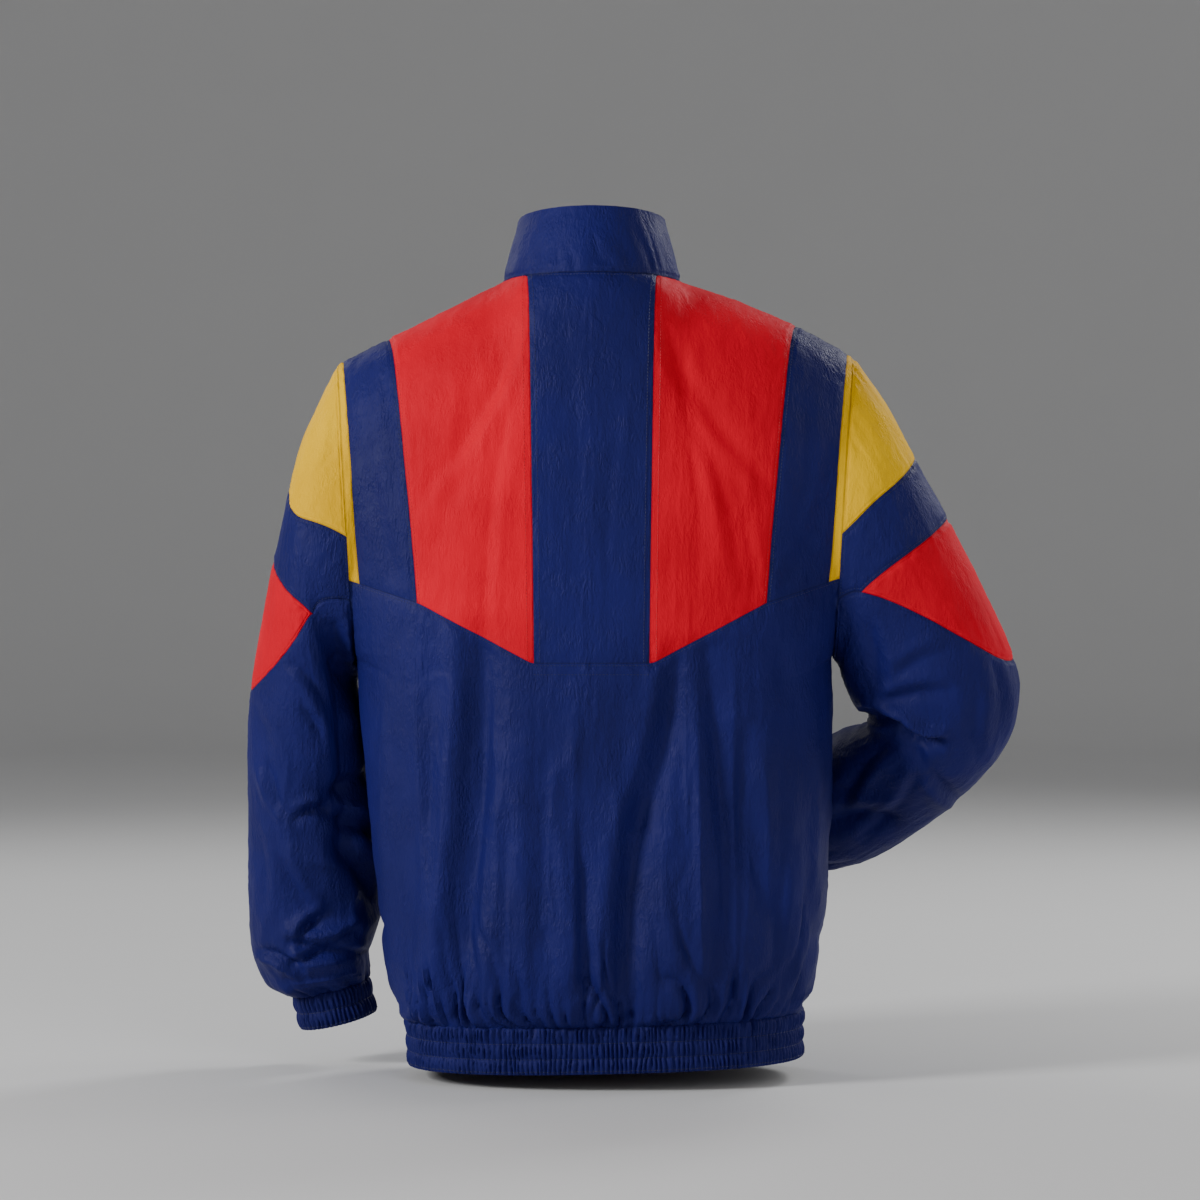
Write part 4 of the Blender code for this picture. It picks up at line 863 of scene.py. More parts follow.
NAVY = (0.0078, 0.0088, 0.1120)
RED = (0.740, 0.0006, 0.0210)
YELLOW = (0.950, 0.520, 0.0005)
FINISHES = (
    (nylon, "navy_nylon", NAVY, (0.020, 0.034, 0.160)),
    (nylon, "red_nylon", RED, (0.880, 0.030, 0.030), 0.60, 0.36, 0.08),
    (nylon, "yellow_nylon", YELLOW, (0.930, 0.540, 0.010), 0.60, 0.46, 0.08),
    (nylon, "navy_elastic", shade(NAVY, 0.92), (0.018, 0.031, 0.150), 0.60),
    (metal, "zip_metal", (0.020, 0.024, 0.050), (0.180, 0.185, 0.200)),
    (tape, "zip_tape", (0.010, 0.018, 0.090), (0.007, 0.013, 0.070), (0.016, 0.028, 0.125)),
    (moulded, "zip_teeth", (0.014, 0.024, 0.115), (0.010, 0.018, 0.090), (0.022, 0.036, 0.150)),
    (thread, "navy_thread", (0.0030, 0.0060, 0.0640)),
    (thread, "red_thread", (0.560, 0.0010, 0.0110)),
)
MATERIALS = {name: make(name, *settings) for make, name, *settings in FINISHES}
# The nodes that keep their shape are the zip's slider and its tab. The cloth gets its own below.
for node in nodes.values():
    node.data.materials.clear()
    node.data.materials.append(MATERIALS["zip_metal"])


# ------------------------------------------------------------------ meshes
SHARP_ANGLE = math.radians(60.0)


def add_object(name, data):
    obj = bpy.data.objects.new(name, data)
    bpy.context.scene.collection.objects.link(obj)
    return obj


def add_mesh(name, vertices, faces):
    mesh = bpy.data.meshes.new(name)
    mesh.from_pydata(vertices.tolist(), [], faces)
    mesh.shade_smooth()
    return add_object(name, mesh)


def mesh_piece(name, vertices, faces, slot=None, finish=None):
    """A smooth piece on the garment, in its slot's finish or in another one."""
    obj = add_mesh(name, vertices, faces)
    obj.data.set_sharp_from_angle(angle=SHARP_ANGLE)
    obj.data.materials.append(MATERIALS[finish or slot])
    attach(obj, "garment")
    return obj


def closed(rows):
    """The rows of a ring, with their first column again at the end."""
    return np.concatenate((rows, rows[:, :1]), axis=1)


def quads(number):
    """The faces between neighbouring rows and columns of a grid of vertex numbers."""
    corners = number[:-1, :-1], number[:-1, 1:], number[1:, 1:], number[1:, :-1]
    return np.stack(corners, axis=-1).reshape(-1, 4)


def shell(name, outer, inner, around, slot, seam):
    """A closed thin shell between two grids. seam says how near a seam each point is, 0 to 1."""
    rows, columns = outer.shape[:2]
    count = rows * columns
    number = np.arange(count).reshape(rows, columns)
    number = closed(number) if around else number
    skin = quads(number)
    rims = [number[0], number[-1, ::-1]]
    if not around:
        rims += [number[::-1, 0], number[:, -1]]
    rim = np.concatenate([np.stack((line[1:], line[:-1], line[:-1] + count, line[1:] + count),
                                   axis=-1) for line in rims])
    faces = np.concatenate((skin, skin[:, ::-1] + count, rim))
    vertices = np.concatenate((outer.reshape(-1, 3), inner.reshape(-1, 3)))
    a, b, c = (vertices[skin[:, k]] for k in range(3))
    out = (outer - inner)[:-1, :(None if around else -1)].reshape(-1, 3)
    if (np.cross(b - a, c - a) * out).sum() < 0.0:
        faces = faces[:, ::-1]
    obj = mesh_piece(name, vertices, faces.tolist(), slot)
    values = np.concatenate((seam.reshape(-1), seam.reshape(-1))).astype(np.float32)
    obj.data.attributes.new("seam", "FLOAT", "POINT").data.foreach_set("value", values)
    return obj


# ------------------------------------------------------------------ panels of cloth
def surface_normals(grid, facing, around, pointed):
    """Outward normals of a grid. facing is +1 where its columns crossed with its rows point out.

    A pointed grid runs to nothing at both sides, so its last columns take their neighbours'.
    """
    if around:
        across = np.roll(grid, -1, axis=1) - np.roll(grid, 1, axis=1)
    else:
        across = np.gradient(grid, axis=1)
    normals = unit(np.cross(across, np.gradient(grid, axis=0))) * facing
    if pointed:
        for tip, beside in ((0, 2), (1, 2), (-1, -3), (-2, -3)):
            normals[:, tip] = normals[:, beside]
    return normals


def key(point):
    return tuple(np.round(point, 6))


BORDERS = {"bottom": (slice(0, 1), slice(None)), "top": (slice(-1, None), slice(None)),
           "left": (slice(None), slice(0, 1)), "right": (slice(None), slice(-1, None))}


class Panel:
    """A sewn panel: its outer grid, and how its cloth moves away from it."""

    def __init__(self, name, grid, slot, facing, surface, region, free, soft, along,
                 around=False, pointed=False, edges=()):
        """soft is the distance from firm seams. free is a move along the normals, such as gathers.

        region names its listed folds, along is where its crinkle is read, and edges are the
        borders that aren't sewn.
        """
        self.name, self.grid, self.slot, self.surface = name, grid, slot, surface
        self.normals = surface_normals(grid, facing, around, pointed)
        self.region, self.free, self.soft, self.along = region, free, soft, along
        self.around, self.edges = around, edges

    def border_places(self):
        for border, (rows, columns) in BORDERS.items():
            if self.around and border in ("left", "right"):
                continue
            yield border, rows, columns

    def seam_distance(self):
        """Distance from the nearest sewn border."""
        down, across = arc_lengths(self.grid, 0), arc_lengths(self.grid, 1)
        found = {"bottom": down, "top": down[-1:] - down, "left": across,
                 "right": across[:, -1:] - across}
        return np.minimum.reduce([found[border] for border, rows, columns in self.border_places()
                                  if border not in self.edges])


SEAM_DEPTH, SEAM_WIDTH = 0.0010, 0.0016
STITCH_DEPTH, STITCH_INSIDE, STITCH_WIDTH = 0.0007, 0.0030, 0.0010
PUCKER, PUCKER_REACH, PUCKER_SIZE = 0.0012, 0.0075, (0.0052, 0.0052, 0.0052)
PUCKER_START = (-0.002, 0.003)   # they are not yet whole at the seam itself
FIRM_REACH = (0.0005, 0.016)     # from a firm seam to where folds are whole
SEWN_SHARE, SEWN_REACH = 0.35, 0.012     # of a fold's depth at a sewn border, and until it is whole
SEAM_WEAR_AND_SHADE = 0.004               # how far beside a seam the cloth is worn; right at the seam it is also darkened with painted shade
LEAST_CUT = 0.0105               # the narrowest cut strip


def join_normals(panels):
    """Panels that meet share their normals along the seam."""
    sums = {}
    for panel in panels:
        for border, rows, columns in panel.border_places():
            points = panel.grid[rows, columns].reshape(-1, 3)
            for point, normal in zip(points, panel.normals[rows, columns].reshape(-1, 3)):
                parts = sums.setdefault(key(point), {})
                parts[panel.surface] = parts.get(panel.surface, 0.0) + normal
    shared = {place: unit(sum(unit(part) for part in parts.values()))
              for place, parts in sums.items()}
    for panel in panels:
        for border, rows, columns in panel.border_places():
            points = panel.grid[rows, columns]
            flat = [shared[key(point)] for point in points.reshape(-1, 3)]
            panel.normals[rows, columns] = np.array(flat).reshape(points.shape)


def sew(panel, thickness, crinkled):
    """Gives a panel its folds, crinkle and puckers, and makes it a thin closed shell."""
    grid, normals = panel.grid, panel.normals
    from_seam = panel.seam_distance()
    loose = (mix(SEWN_SHARE, 1.0, fade_in(from_seam, 0.0, SEWN_REACH))
             * fade_in(panel.soft, *FIRM_REACH))
    relief = loose * (crease_relief(panel.region, grid, normals) + crinkled * crinkle(panel.along))
    relief = relief + panel.free
    relief -= SEAM_DEPTH * np.exp(-(from_seam / SEAM_WIDTH) ** 2)
    relief -= STITCH_DEPTH * np.exp(-((from_seam - STITCH_INSIDE) / STITCH_WIDTH) ** 2)
    relief += (PUCKER * noise(grid, PUCKER_SIZE, 21)
               * np.exp(-from_seam / PUCKER_REACH) * fade_in(from_seam, *PUCKER_START))
    panel.outer = grid + normals * relief[..., None]
    # the seam attribute gives the wear beside a seam and the painted shade in it
    obj = shell(panel.name + "_cloth", panel.outer, panel.outer - normals * thickness,
                panel.around, panel.slot, np.exp(-(from_seam / SEAM_WEAR_AND_SHADE) ** 2))
    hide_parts(panel.name)
    return obj


def cut_of(outer, around):
    """Width, length and area of a grid's cloth laid flat, with all its fullness."""
    cloth = closed(outer) if around else outer
    a, b, c, d = cloth[:-1, :-1], cloth[:-1, 1:], cloth[1:, 1:], cloth[1:, :-1]
    area = 0.5 * np.linalg.norm(np.cross(c - a, d - b), axis=-1).sum()
    return arc_lengths(cloth, 1)[:, -1].max(), arc_lengths(cloth)[-1].max(), area


def declare_cloth(obj, outer, around, rests_on):
    width, length, area = cut_of(outer, around)
    width = max(width, LEAST_CUT)


# ------------------------------------------------------------------ gathers
HEM_UP = unit(np.array((TRUNK[0][TRUNK_COLUMNS.index("lean")], 0.0, 1.0)))
HEM_MIDDLE_X, HEM_HALF_WIDTH, HEM_HALF_DEPTH = -0.0105, 0.185, 0.125
# Pleats drawn in beside a seam: depth, how many go round, how unevenly, how far they reach, and
# their seed.
HEM_GATHERS = ((0.0120, 43, 3.6, 0.064, 41), (0.0070, 104, 3.0, 0.028, 51))
CUFF_GATHERS = ((0.0085, 13, 2.6, 0.036, 71), (0.0050, 30, 2.2, 0.016, 81))
HEAD_GATHERS = ((0.0024, 34, 3.0, 0.016, 77),)
COLLAR_GATHERS = ((0.0030, 21, 3.0, 0.026, 61),)
# The sizes of the noises that bend the pleats, and that vary their lengths and depths.
PLEAT_BEND, FINE_BEND = (0.045, 0.045, 0.110), (0.018, 0.018, 0.050)
PLEAT_LENGTHS, PLEAT_DEPTHS = (0.024, 0.024, 0.5), (0.035, 0.035, 0.2)
PLEAT_POWER, PLEAT_LEVEL = 0.8, 0.6      # below 1 narrows the valleys; the part that lies below
LENGTH_VARIES, SHORTEST, LENGTH_POWER = 0.9, 0.3, 1.5
DEPTH_MEAN, DEPTH_VARIES = 0.75, 0.5
FLAT_SHARE, FLAT_REACH = 0.35, 0.011     # of a pleat's depth at the seam, and until it is whole
GATHER_START = 0.006             # where the gathers of the collar and the sleeve head are whole


def pleats(points, turn, count, warp, seed):
    """Round pleats with narrow valleys between them, -0.6 to 0.4. turn is in radians."""
    phase = count * turn / 2.0 + warp * noise(points, PLEAT_BEND, seed)
    phase = phase + 0.5 * warp * noise(points, FINE_BEND, seed + 1)
    return np.abs(np.sin(phase)) ** PLEAT_POWER - PLEAT_LEVEL


def gathers(points, turn, away, table):
    """The fullness drawn in at a seam: deep beside it, and dying out at uneven lengths."""
    swell = mix(FLAT_SHARE, 1.0, fade_in(away, 0.0, FLAT_REACH))
    move = 0.0
    for depth, count, warp, reach, seed in table:
        lengths = reach * (1.0 + LENGTH_VARIES * noise(points, PLEAT_LENGTHS, seed + 5))
        fade = np.exp(-(away / np.maximum(lengths, SHORTEST * reach)) ** LENGTH_POWER)
        uneven = DEPTH_MEAN + DEPTH_VARIES * noise(points, PLEAT_DEPTHS, seed + 7)
        move = move + depth * swell * fade * uneven * pleats(points, turn, count, warp, seed)
    return move


def hem_turn(points):
    return np.arctan2(points[..., 1] / HEM_HALF_DEPTH,
                      (points[..., 0] - HEM_MIDDLE_X) / HEM_HALF_WIDTH)


# ------------------------------------------------------------------ the trunk and the collar
EASE_ROUNDS, EASE_LEVELS = 60, (1.30, 1.60)
TOP_EDGE = 0.06                  # levels below the shoulder seam in which the easing fades out
UPPER_LEVEL = 1.6                # above it the neck's distance counts
# Gathered seams hold the cloth less firmly: how much faster folds grow from them, and from where.
HEM_FIRMNESS, HEM_SLACK, ZIP_SLACK = 1.6, 0.004, 0.003
FALLING = (0.30, 0.46)           # from here down, below the neck, the long soft folds are whole
FALL_DEPTH, FALL_SIZE, FALL_CLEAR = 0.0032, (0.036, 0.240), 0.030


def ease_neck(grid):
    """Softens the bend that runs down the cloth from the neck point. Its borders stay."""
    levels = TRUNK_ROWS[:, None, None]
    share = 0.5 * fade_in(levels, *EASE_LEVELS) * fade_in(2.0 - levels, 0.0, TOP_EDGE)
    x = grid[..., :1]
    between = (x[:, 1:-1] - x[:, :-2]) / np.where(x[:, 2:] == x[:, :-2], 1.0, x[:, 2:] - x[:, :-2])
    for _ in range(EASE_ROUNDS):
        level = mix(grid[:, :-2, 1:], grid[:, 2:, 1:], between)
        grid[:, 1:-1, 1:] = mix(grid[:, 1:-1, 1:], level, share)
    return grid


def firm_distance(grid, from_zip):
    """Distance from the hem seam, the armhole, the neck and, on a front, the zip."""
    down, across = arc_lengths(grid), arc_lengths(grid, 1)
    armhole = across[:, -1:] - across + np.maximum(1.0 - TRUNK_ROWS[:, None], 0.0) * 0.5
    upper = TRUNK_ROWS > UPPER_LEVEL
    neck_seam = grid[-1, :(FRONT_CELLS if from_zip else NECK_CELLS) + 1]
    neck = np.full(grid.shape[:2], 1.0)
    neck[upper] = np.linalg.norm(grid[upper][:, :, None] - neck_seam, axis=-1).min(axis=-1)
    found = np.minimum(np.minimum(down * HEM_FIRMNESS + HEM_SLACK, armhole), neck)
    return np.minimum(found, across + ZIP_SLACK) if from_zip else found


def trunk_fullness(grid):
    """The pleats above the hem, and the long soft folds that fall from the chest to them."""
    up = arc_lengths(grid)
    falling = fade_in(-grid[..., 2], *FALLING) * fade_in(up, 0.0, FALL_CLEAR)
    return (gathers(grid, hem_turn(grid), up, HEM_GATHERS)
            + FALL_DEPTH * falling * rumple(grid, *FALL_SIZE, 87))


backs = {side: ease_neck(trunk_grid(side, 1)) for side in SIDES}
fronts = {side: ease_neck(trunk_grid(side, -1)) for side in SIDES}
soft_backs = {side: firm_distance(backs[side], False) for side in SIDES}
soft_fronts = {side: firm_distance(fronts[side], True) for side in SIDES}
free_backs, free_fronts = ({side: trunk_fullness(grids[side]) for side in SIDES}
                           for grids in (backs, fronts))
panels = []


def whole(halves):
    return np.concatenate((halves["right"][:, ::-1], halves["left"][:, 1:]), axis=1)


across, soft_across, free_across = whole(backs), whole(soft_backs), whole(free_backs)
MIDDLE = sum(BACK_CELLS)
LINES = np.concatenate(([0], np.cumsum(BACK_CELLS)))
LOW, HIGH = slice(0, YOKE_ROW + 1), slice(YOKE_ROW, None)
for name, part in (("back_lower", LOW),
                   ("back_centre", (HIGH, slice(MIDDLE - LINES[1], MIDDLE + LINES[1] + 1)))):
    panels.append(Panel(name, across[part], "navy_nylon", -1, "trunk", "trunk", free_across[part],
                        soft_across[part], across[part]))
for side, sign in SIDES.items():
    for name, slot, columns in (("red", "red_nylon", slice(LINES[1], LINES[3] + 1)),
                                ("side", "navy_nylon", slice(LINES[3], LINES[4] + 1)),
                                ("yellow", "yellow_nylon", slice(LINES[4], LINES[5] + 1))):
        part = HIGH, columns
        panels.append(Panel(f"back_{name}_{side}", backs[side][part], slot, -sign, "trunk", "trunk",
                            free_backs[side][part], soft_backs[side][part], backs[side][part]))
    panels.append(Panel(f"front_{side}", fronts[side], "navy_nylon", sign, "trunk", "trunk",
                        free_fronts[side], soft_fronts[side], fronts[side], edges=("left",)))


COLLAR_ROWS = 32
COLLAR_TOP_DRAW, COLLAR_TOP = 0.0010, (0.030, 0.056)     # how its top is drawn in, and where


def collar_grid():
    """The stand collar, from the left zip edge round the back to the right one."""
    halves = [np.concatenate((fronts[side][-1, :FRONT_CELLS + 1],
                              backs[side][-1, NECK_CELLS::-1][1:])) for side in SIDES]
    neck = np.concatenate((halves[0], halves[1][-2::-1]))
    turn = np.degrees(np.arctan2(neck[:, 0] / NECK_HALF_WIDTH,
                                 (neck[:, 1] - NECK_CENTRE_Y) / NECK_DEPTH))
    grid = mix(neck, collar_top_point(turn), closer(COLLAR_ROWS)[:, None, None])
    grid[:, 0, 0], grid[:, -1, 0] = ZIP_HALF_WIDTH, -ZIP_HALF_WIDTH
    return grid


def collar_panel():
    grid = collar_grid()
    up, along = arc_lengths(grid), arc_lengths(grid, 1)
    soft = np.minimum(up, np.minimum(along, along[:, -1:] - along) + ZIP_SLACK)
    turn = np.arctan2(grid[..., 1] - NECK_CENTRE_Y, grid[..., 0])
    free = (gathers(grid, turn, up, COLLAR_GATHERS) * fade_in(up, 0.0, GATHER_START)
            - COLLAR_TOP_DRAW * fade_in(up, *COLLAR_TOP))
    return Panel("collar", grid, "navy_nylon", 1, "collar", "trunk", free, soft, grid,
                 edges=("left", "right", "top"))


panels.append(collar_panel())


# ------------------------------------------------------------------ the sleeves
SLEEVE_ROWS = {"yellow": 50, "band": 28, "red": 52, "lower": 136}
SLEEVE_RADIUS = 0.062            # of the straight tube that its cloth would make
HEAD_RING, CUFF_RING = 0.055, 0.040      # how far apart its rings are, near its two ends
# The rumpled folds of each lower sleeve: depth and seed, size, the rings in which they start, and
# how far before the cuff they end.
SLACK = {"left": (0.0042, 91), "right": (0.0026, 96)}
SLACK_SIZE, SLACK_START, SLACK_END = (0.078, 0.050), (3.6, 6.2), 0.020
SLACK_EDGE = 0.15                # of its depth on the sleeve's outer and inner line


def sleeve_cloth(side, turn, rings):
    """The place in a sleeve's cloth, as if it were a straight tube."""
    dense = np.linspace(0.0, RINGS[side][-1][0], 200)
    run = arc_lengths(ring_frame(side, dense)[0])
    return np.stack((SLEEVE_RADIUS * np.cos(turn), SLEEVE_RADIUS * np.sin(turn),
                     np.interp(rings, dense, run) + SIDES[side]), axis=-1)


def sleeve_fullness(side, along, turn, rings, from_head, to_cuff):
    """The slack of the lower sleeve, the cuff's gathers, and the ease of the head's seam."""
    depth, seed = SLACK[side]
    slack = (depth * mix(SLACK_EDGE, 1.0, np.sin(turn) ** 2) * rumple(along, *SLACK_SIZE, seed)
             * fade_in(rings, *SLACK_START) * fade_in(to_cuff, 0.0, SLACK_END))
    head = gathers(along, turn, from_head, HEAD_GATHERS) * fade_in(from_head, 0.0, GATHER_START)
    return slack + gathers(along, turn, to_cuff, CUFF_GATHERS) + head


def sleeve_panels(side, sign):
    last = RINGS[side][-1][0]
    seams = {"head": np.zeros_like, "cuff": lambda angles: np.full(len(angles), last)}
    for name in ("cap", "band", "red"):
        seams[name] = lambda angles, name=name: seam_ring(side, name, angles)
    for name, slot, end, upper, lower in (
            ("yellow", "yellow_nylon", CAP_END, "head", "cap"),
            ("band", "navy_nylon", BAND_END, "cap", "band"),
            ("red", "red_nylon", RED_TIP_ANGLE, "band", "red"),
            ("lower", "navy_nylon", 180.0, "red", "cuff")):
        around = name == "lower"
        angles = mirrored([angle for angle in finer(ARMHOLE_STOPS) if angle <= end + 1e-6])
        angles = angles[1:] if around else angles
        starts, ends = seams[upper](angles), seams[lower](angles)
        grid = sleeve_patch(side, angles, starts, ends, SLEEVE_ROWS[name])
        rings = mix(starts, ends, closer(SLEEVE_ROWS[name])[:, None])
        turn = np.radians(np.tile(angles, (len(grid), 1)))
        from_head, to_cuff = rings * HEAD_RING, (last - rings) * CUFF_RING
        along = sleeve_cloth(side, turn, rings)
        panels.append(Panel(f"sleeve_{name}_{side}", grid, slot, -sign, side, side,
                            sleeve_fullness(side, along, turn, rings, from_head, to_cuff),
                            np.minimum(from_head, to_cuff * HEM_FIRMNESS + HEM_SLACK), along,
                            around=around, pointed=not around))


for side, sign in SIDES.items():
    sleeve_panels(side, sign)

join_normals(panels)
by_name = {panel.name: panel for panel in panels}
# Beside an elastic band the cloth leaves at a right angle to the band's way down.
for name, row, way in (("sleeve_lower_left", -1, cuff_axis("left")),
                       ("sleeve_lower_right", -1, cuff_axis("right")),
                       ("back_lower", 0, HEM_UP), ("front_left", 0, HEM_UP),
                       ("front_right", 0, HEM_UP)):
    normal = by_name[name].normals[row]
    by_name[name].normals[row] = unit(normal - (normal @ way)[:, None] * way)

# What each panel hangs from.
UPHELD = {"back_lower": ("back_centre", "back_red", "back_side"), "back_red": ("collar",),
          "back_centre": ("collar",), "back_side": ("front",), "back_yellow": ("back_side",),
          "front": ("back_red", "back_side"), "collar": ("back_centre", "front"),
          "sleeve_yellow": ("back_yellow", "front"), "sleeve_band": ("sleeve_yellow",),
          "sleeve_red": ("sleeve_band",), "sleeve_lower": ("sleeve_red",)}


def upheld_by(name):
    """Names of the cloth that a panel hangs from."""
    base, _, side = name.rpartition("_")
    base, sides = (base, (side,)) if side in SIDES else (name, ("left", "right"))
    found = [f"{other}_{each}_cloth" for other in UPHELD[base] for each in sides]
    found += [f"{other}_cloth" for other in UPHELD[base]]
    return [other for other in found if other.removesuffix("_cloth") in by_name]


for panel in panels:
    # thickness, how crinkled it is, and how it is held
    thickness, crinkled, held = ((COLLAR_CLOTH, 0.5, "folded") if panel.name == "collar"
                                 else (CLOTH, 1.0, "hung"))
    declare_cloth(sew(panel, thickness, crinkled), panel.outer, panel.around,
                  upheld_by(panel.name))


# ------------------------------------------------------------------ elastic bands
def even_line(points, count, around):
    """Points at even steps along a dense line."""
    line = np.concatenate((points, points[:1])) if around else points
    run = arc_lengths(line[:, :3])
    return read_at(np.linspace(0.0, run[-1], count, endpoint=not around), run, line)


BAND_WALL = 0.0012
RIB_PITCH, RIB_POWER, RIB_LEVEL = 0.0043, 0.75, 0.62
RIB_BEND, RIB_BEND_SIZE = 2.6, (0.016, 0.016, 0.060)     # how unevenly the ribs run
ROW_BEND, ROW_BEND_SIZE = 0.9, (0.007, 0.007, 0.014)     # and between two rows of elastic
RIB_DEPTHS, RIB_SHIFT, SHIFT_SIZE = (0.010, 0.010, 0.012), 0.0006, (0.006, 0.006, 0.02)
ROW_SWELL, ROW_SHARE = 0.0012, 0.50      # how far a tier swells, and a rib's depth on its rows
SEAM_FOLLOW = 0.009                      # how far down it follows the cloth above
TIER_ROUNDNESS, TIER_SHIFT = 0.7, 0.4    # how round a tier is, and how far apart their noises lie
DEPTH_VARIATION = 0.6
ROW_SHADE, ROW_SHADE_POWER = 0.85, 6     # how worn the cloth is on its rows of elastic; at 0.85 it just reaches the painted seam shade, which darkens it very slightly
ALLOWANCE_UP, ALLOWANCE_BEHIND = 0.0026, 0.0025


def shirred(name, slot, line, down, height, tiers, around, rows, seed, fullness, top,
            rests_on):
    """A band drawn up on rows of elastic: uneven ribs that swell between its stitch rows.

    top is the move of the cloth above along the seam. Gives its outer grid and its way out.
    """
    ahead = (np.roll(line, -1, axis=0) - np.roll(line, 1, axis=0) if around
             else np.gradient(line, axis=0))
    out = unit(np.cross(ahead, down))
    out *= math.copysign(1.0, (out * (line - line.mean(axis=0))).sum())
    run = arc_lengths(line)
    length = run[-1] + (np.linalg.norm(line[0] - line[-1]) if around else 0.0)
    turn = 2.0 * math.pi * run / length
    radius = length / (2.0 * math.pi)
    ring = np.stack((radius * np.cos(turn), radius * np.sin(turn)), axis=-1)
    ribs = round(length / RIB_PITCH)
    places = np.linspace(0.0, 1.0, rows + 1)
    tier = np.minimum((places * tiers).astype(int), tiers - 1)
    swells = np.sin(math.pi * np.clip(places * tiers - tier, 0.0, 1.0)) ** TIER_ROUNDNESS
    outer = []
    for drop, level, swell in zip(places * height, tier, swells):
        at = np.concatenate((ring, np.full((len(line), 1), drop)), axis=1)
        own = at + np.array((0.0, 0.0, level * TIER_SHIFT))
        phase = ribs * turn / 2.0 + RIB_BEND * noise(at, RIB_BEND_SIZE, seed)
        phase = phase + ROW_BEND * swell * noise(own, ROW_BEND_SIZE, seed + 1)
        rib = np.abs(np.sin(phase)) ** RIB_POWER - RIB_LEVEL
        deep = 1.0 + DEPTH_VARIATION * noise(own, RIB_DEPTHS, seed + 2)
        move = ROW_SWELL * swell + fullness * rib * deep * mix(ROW_SHARE, 1.0, swell)
        move = move + top * math.exp(-(drop / SEAM_FOLLOW) ** 2)
        shift = RIB_SHIFT * noise(own, SHIFT_SIZE, seed + 3) * swell
        outer.append(line + down * drop + out * move[:, None] + down * shift[:, None])
    # the seam allowance turns up behind the cloth above
    allowance = line - down * ALLOWANCE_UP + out * (top - ALLOWANCE_BEHIND)[:, None]
    sewn = np.array([allowance] + outer)
    swells = np.insert(swells, 0, 0.0)
    seam = np.tile((1.0 - swells[:, None]) ** ROW_SHADE_POWER * ROW_SHADE, (1, len(line)))
    obj = shell(f"{name}_cloth", sewn, sewn - out * BAND_WALL, around, slot, seam)
    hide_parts(name)
    declare_cloth(obj, sewn, around, rests_on)
    return sewn[1:], out


def hem_line(face, side):
    """The hem seam on one side of the back or the front, from the middle out."""
    start = front_shares(side, 0.0)[0] if face < 0 else 0.0
    return trunk_row(side, face, mix(start, 1.0, np.sin(np.linspace(0.0, math.pi / 2, 400))), 0.0)


HEM_COLUMNS, HEM_ROWS, HEM_TIERS, HEM_FULLNESS = 1000, 30, 3, 0.0030
CUFF_COLUMNS, CUFF_ROWS, CUFF_TIERS, CUFF_FULLNESS = 256, 24, 2, 0.0032
HEM_SEED, CUFF_SEEDS = 101, {"left": 131, "right": 161}


def hem_band():
    """The hem band, from one zip edge round the back to the other."""
    line = np.concatenate((hem_line(-1, "left"), hem_line(1, "left")[-2::-1],
                           hem_line(1, "right")[1:], hem_line(-1, "right")[-2::-1]))
    line = even_line(line, HEM_COLUMNS, False)
    top = gathers(line, hem_turn(line), np.zeros(len(line)), HEM_GATHERS)
    return shirred("hem_band", "navy_elastic", line, -HEM_UP, BAND_HEIGHT, HEM_TIERS, False,
                   HEM_ROWS, HEM_SEED, HEM_FULLNESS, top,
                   ("back_lower_cloth", "front_left_cloth", "front_right_cloth"))


def cuff(side):
    degrees = np.arange(0.0, 360.0, 1.0)
    last = np.full(len(degrees), RINGS[side][-1][0])
    # each point of the ring, and its place in the sleeve's cloth
    line = np.concatenate((sleeve_point(side, degrees, last),
                           sleeve_cloth(side, np.radians(degrees), last)), axis=1)
    line = even_line(line, CUFF_COLUMNS, True)
    place = line[:, 3:]
    top = gathers(place, np.arctan2(place[:, 1], place[:, 0]), np.zeros(len(line)), CUFF_GATHERS)
    return shirred(f"cuff_{side}", "navy_elastic", line[:, :3], cuff_axis(side), CUFF_HEIGHT,
                   CUFF_TIERS, True, CUFF_ROWS, CUFF_SEEDS[side], CUFF_FULLNESS, top,
                   (f"sleeve_lower_{side}_cloth",))


hem_grid, hem_out = hem_band()
cuffs = {side: cuff(side) for side in SIDES}


# ------------------------------------------------------------------ stitching
STITCH_LENGTH, STITCH_PITCH, THREAD_RADIUS = 0.0022, 0.0030, 0.00030


THREAD_DIP, THREAD_RISE = 0.00025, 0.00016
FIRST_STITCH, LAST_STITCH = 0.6, 0.4     # how far from a row's ends, in pitches
BAND_STITCH_RISE = 0.0002
YOKE_MIDDLE = ((MIDDLE - LINES[1]) / (2.0 * MIDDLE), (MIDDLE + LINES[1] + 1) / (2.0 * MIDDLE))


def inside_line(name, border, distance, start=0.0, end=1.0):
    """A line on a panel's outer face at a distance inside a border, with its normals.

    start and end are the shares of the border between which it runs.
    """
    panel = by_name[name]
    grid, outer, normals = panel.grid, panel.outer, panel.normals
    if border in ("bottom", "top"):
        grid, outer, normals = (values.transpose(1, 0, 2) for values in (grid, outer, normals))
    if border in ("right", "top"):
        grid, outer, normals = grid[:, ::-1], outer[:, ::-1], normals[:, ::-1]
    away = arc_lengths(grid, 1)
    rows = [row for row in range(len(grid)) if away[row, -1] > distance]
    rows = rows[int(start * len(rows)):int(math.ceil(end * len(rows)))]
    points, ways = (np.array([read_at(distance, away[row], values[row]) for row in rows])
                    for values in (outer, normals))
    return points, unit(ways)


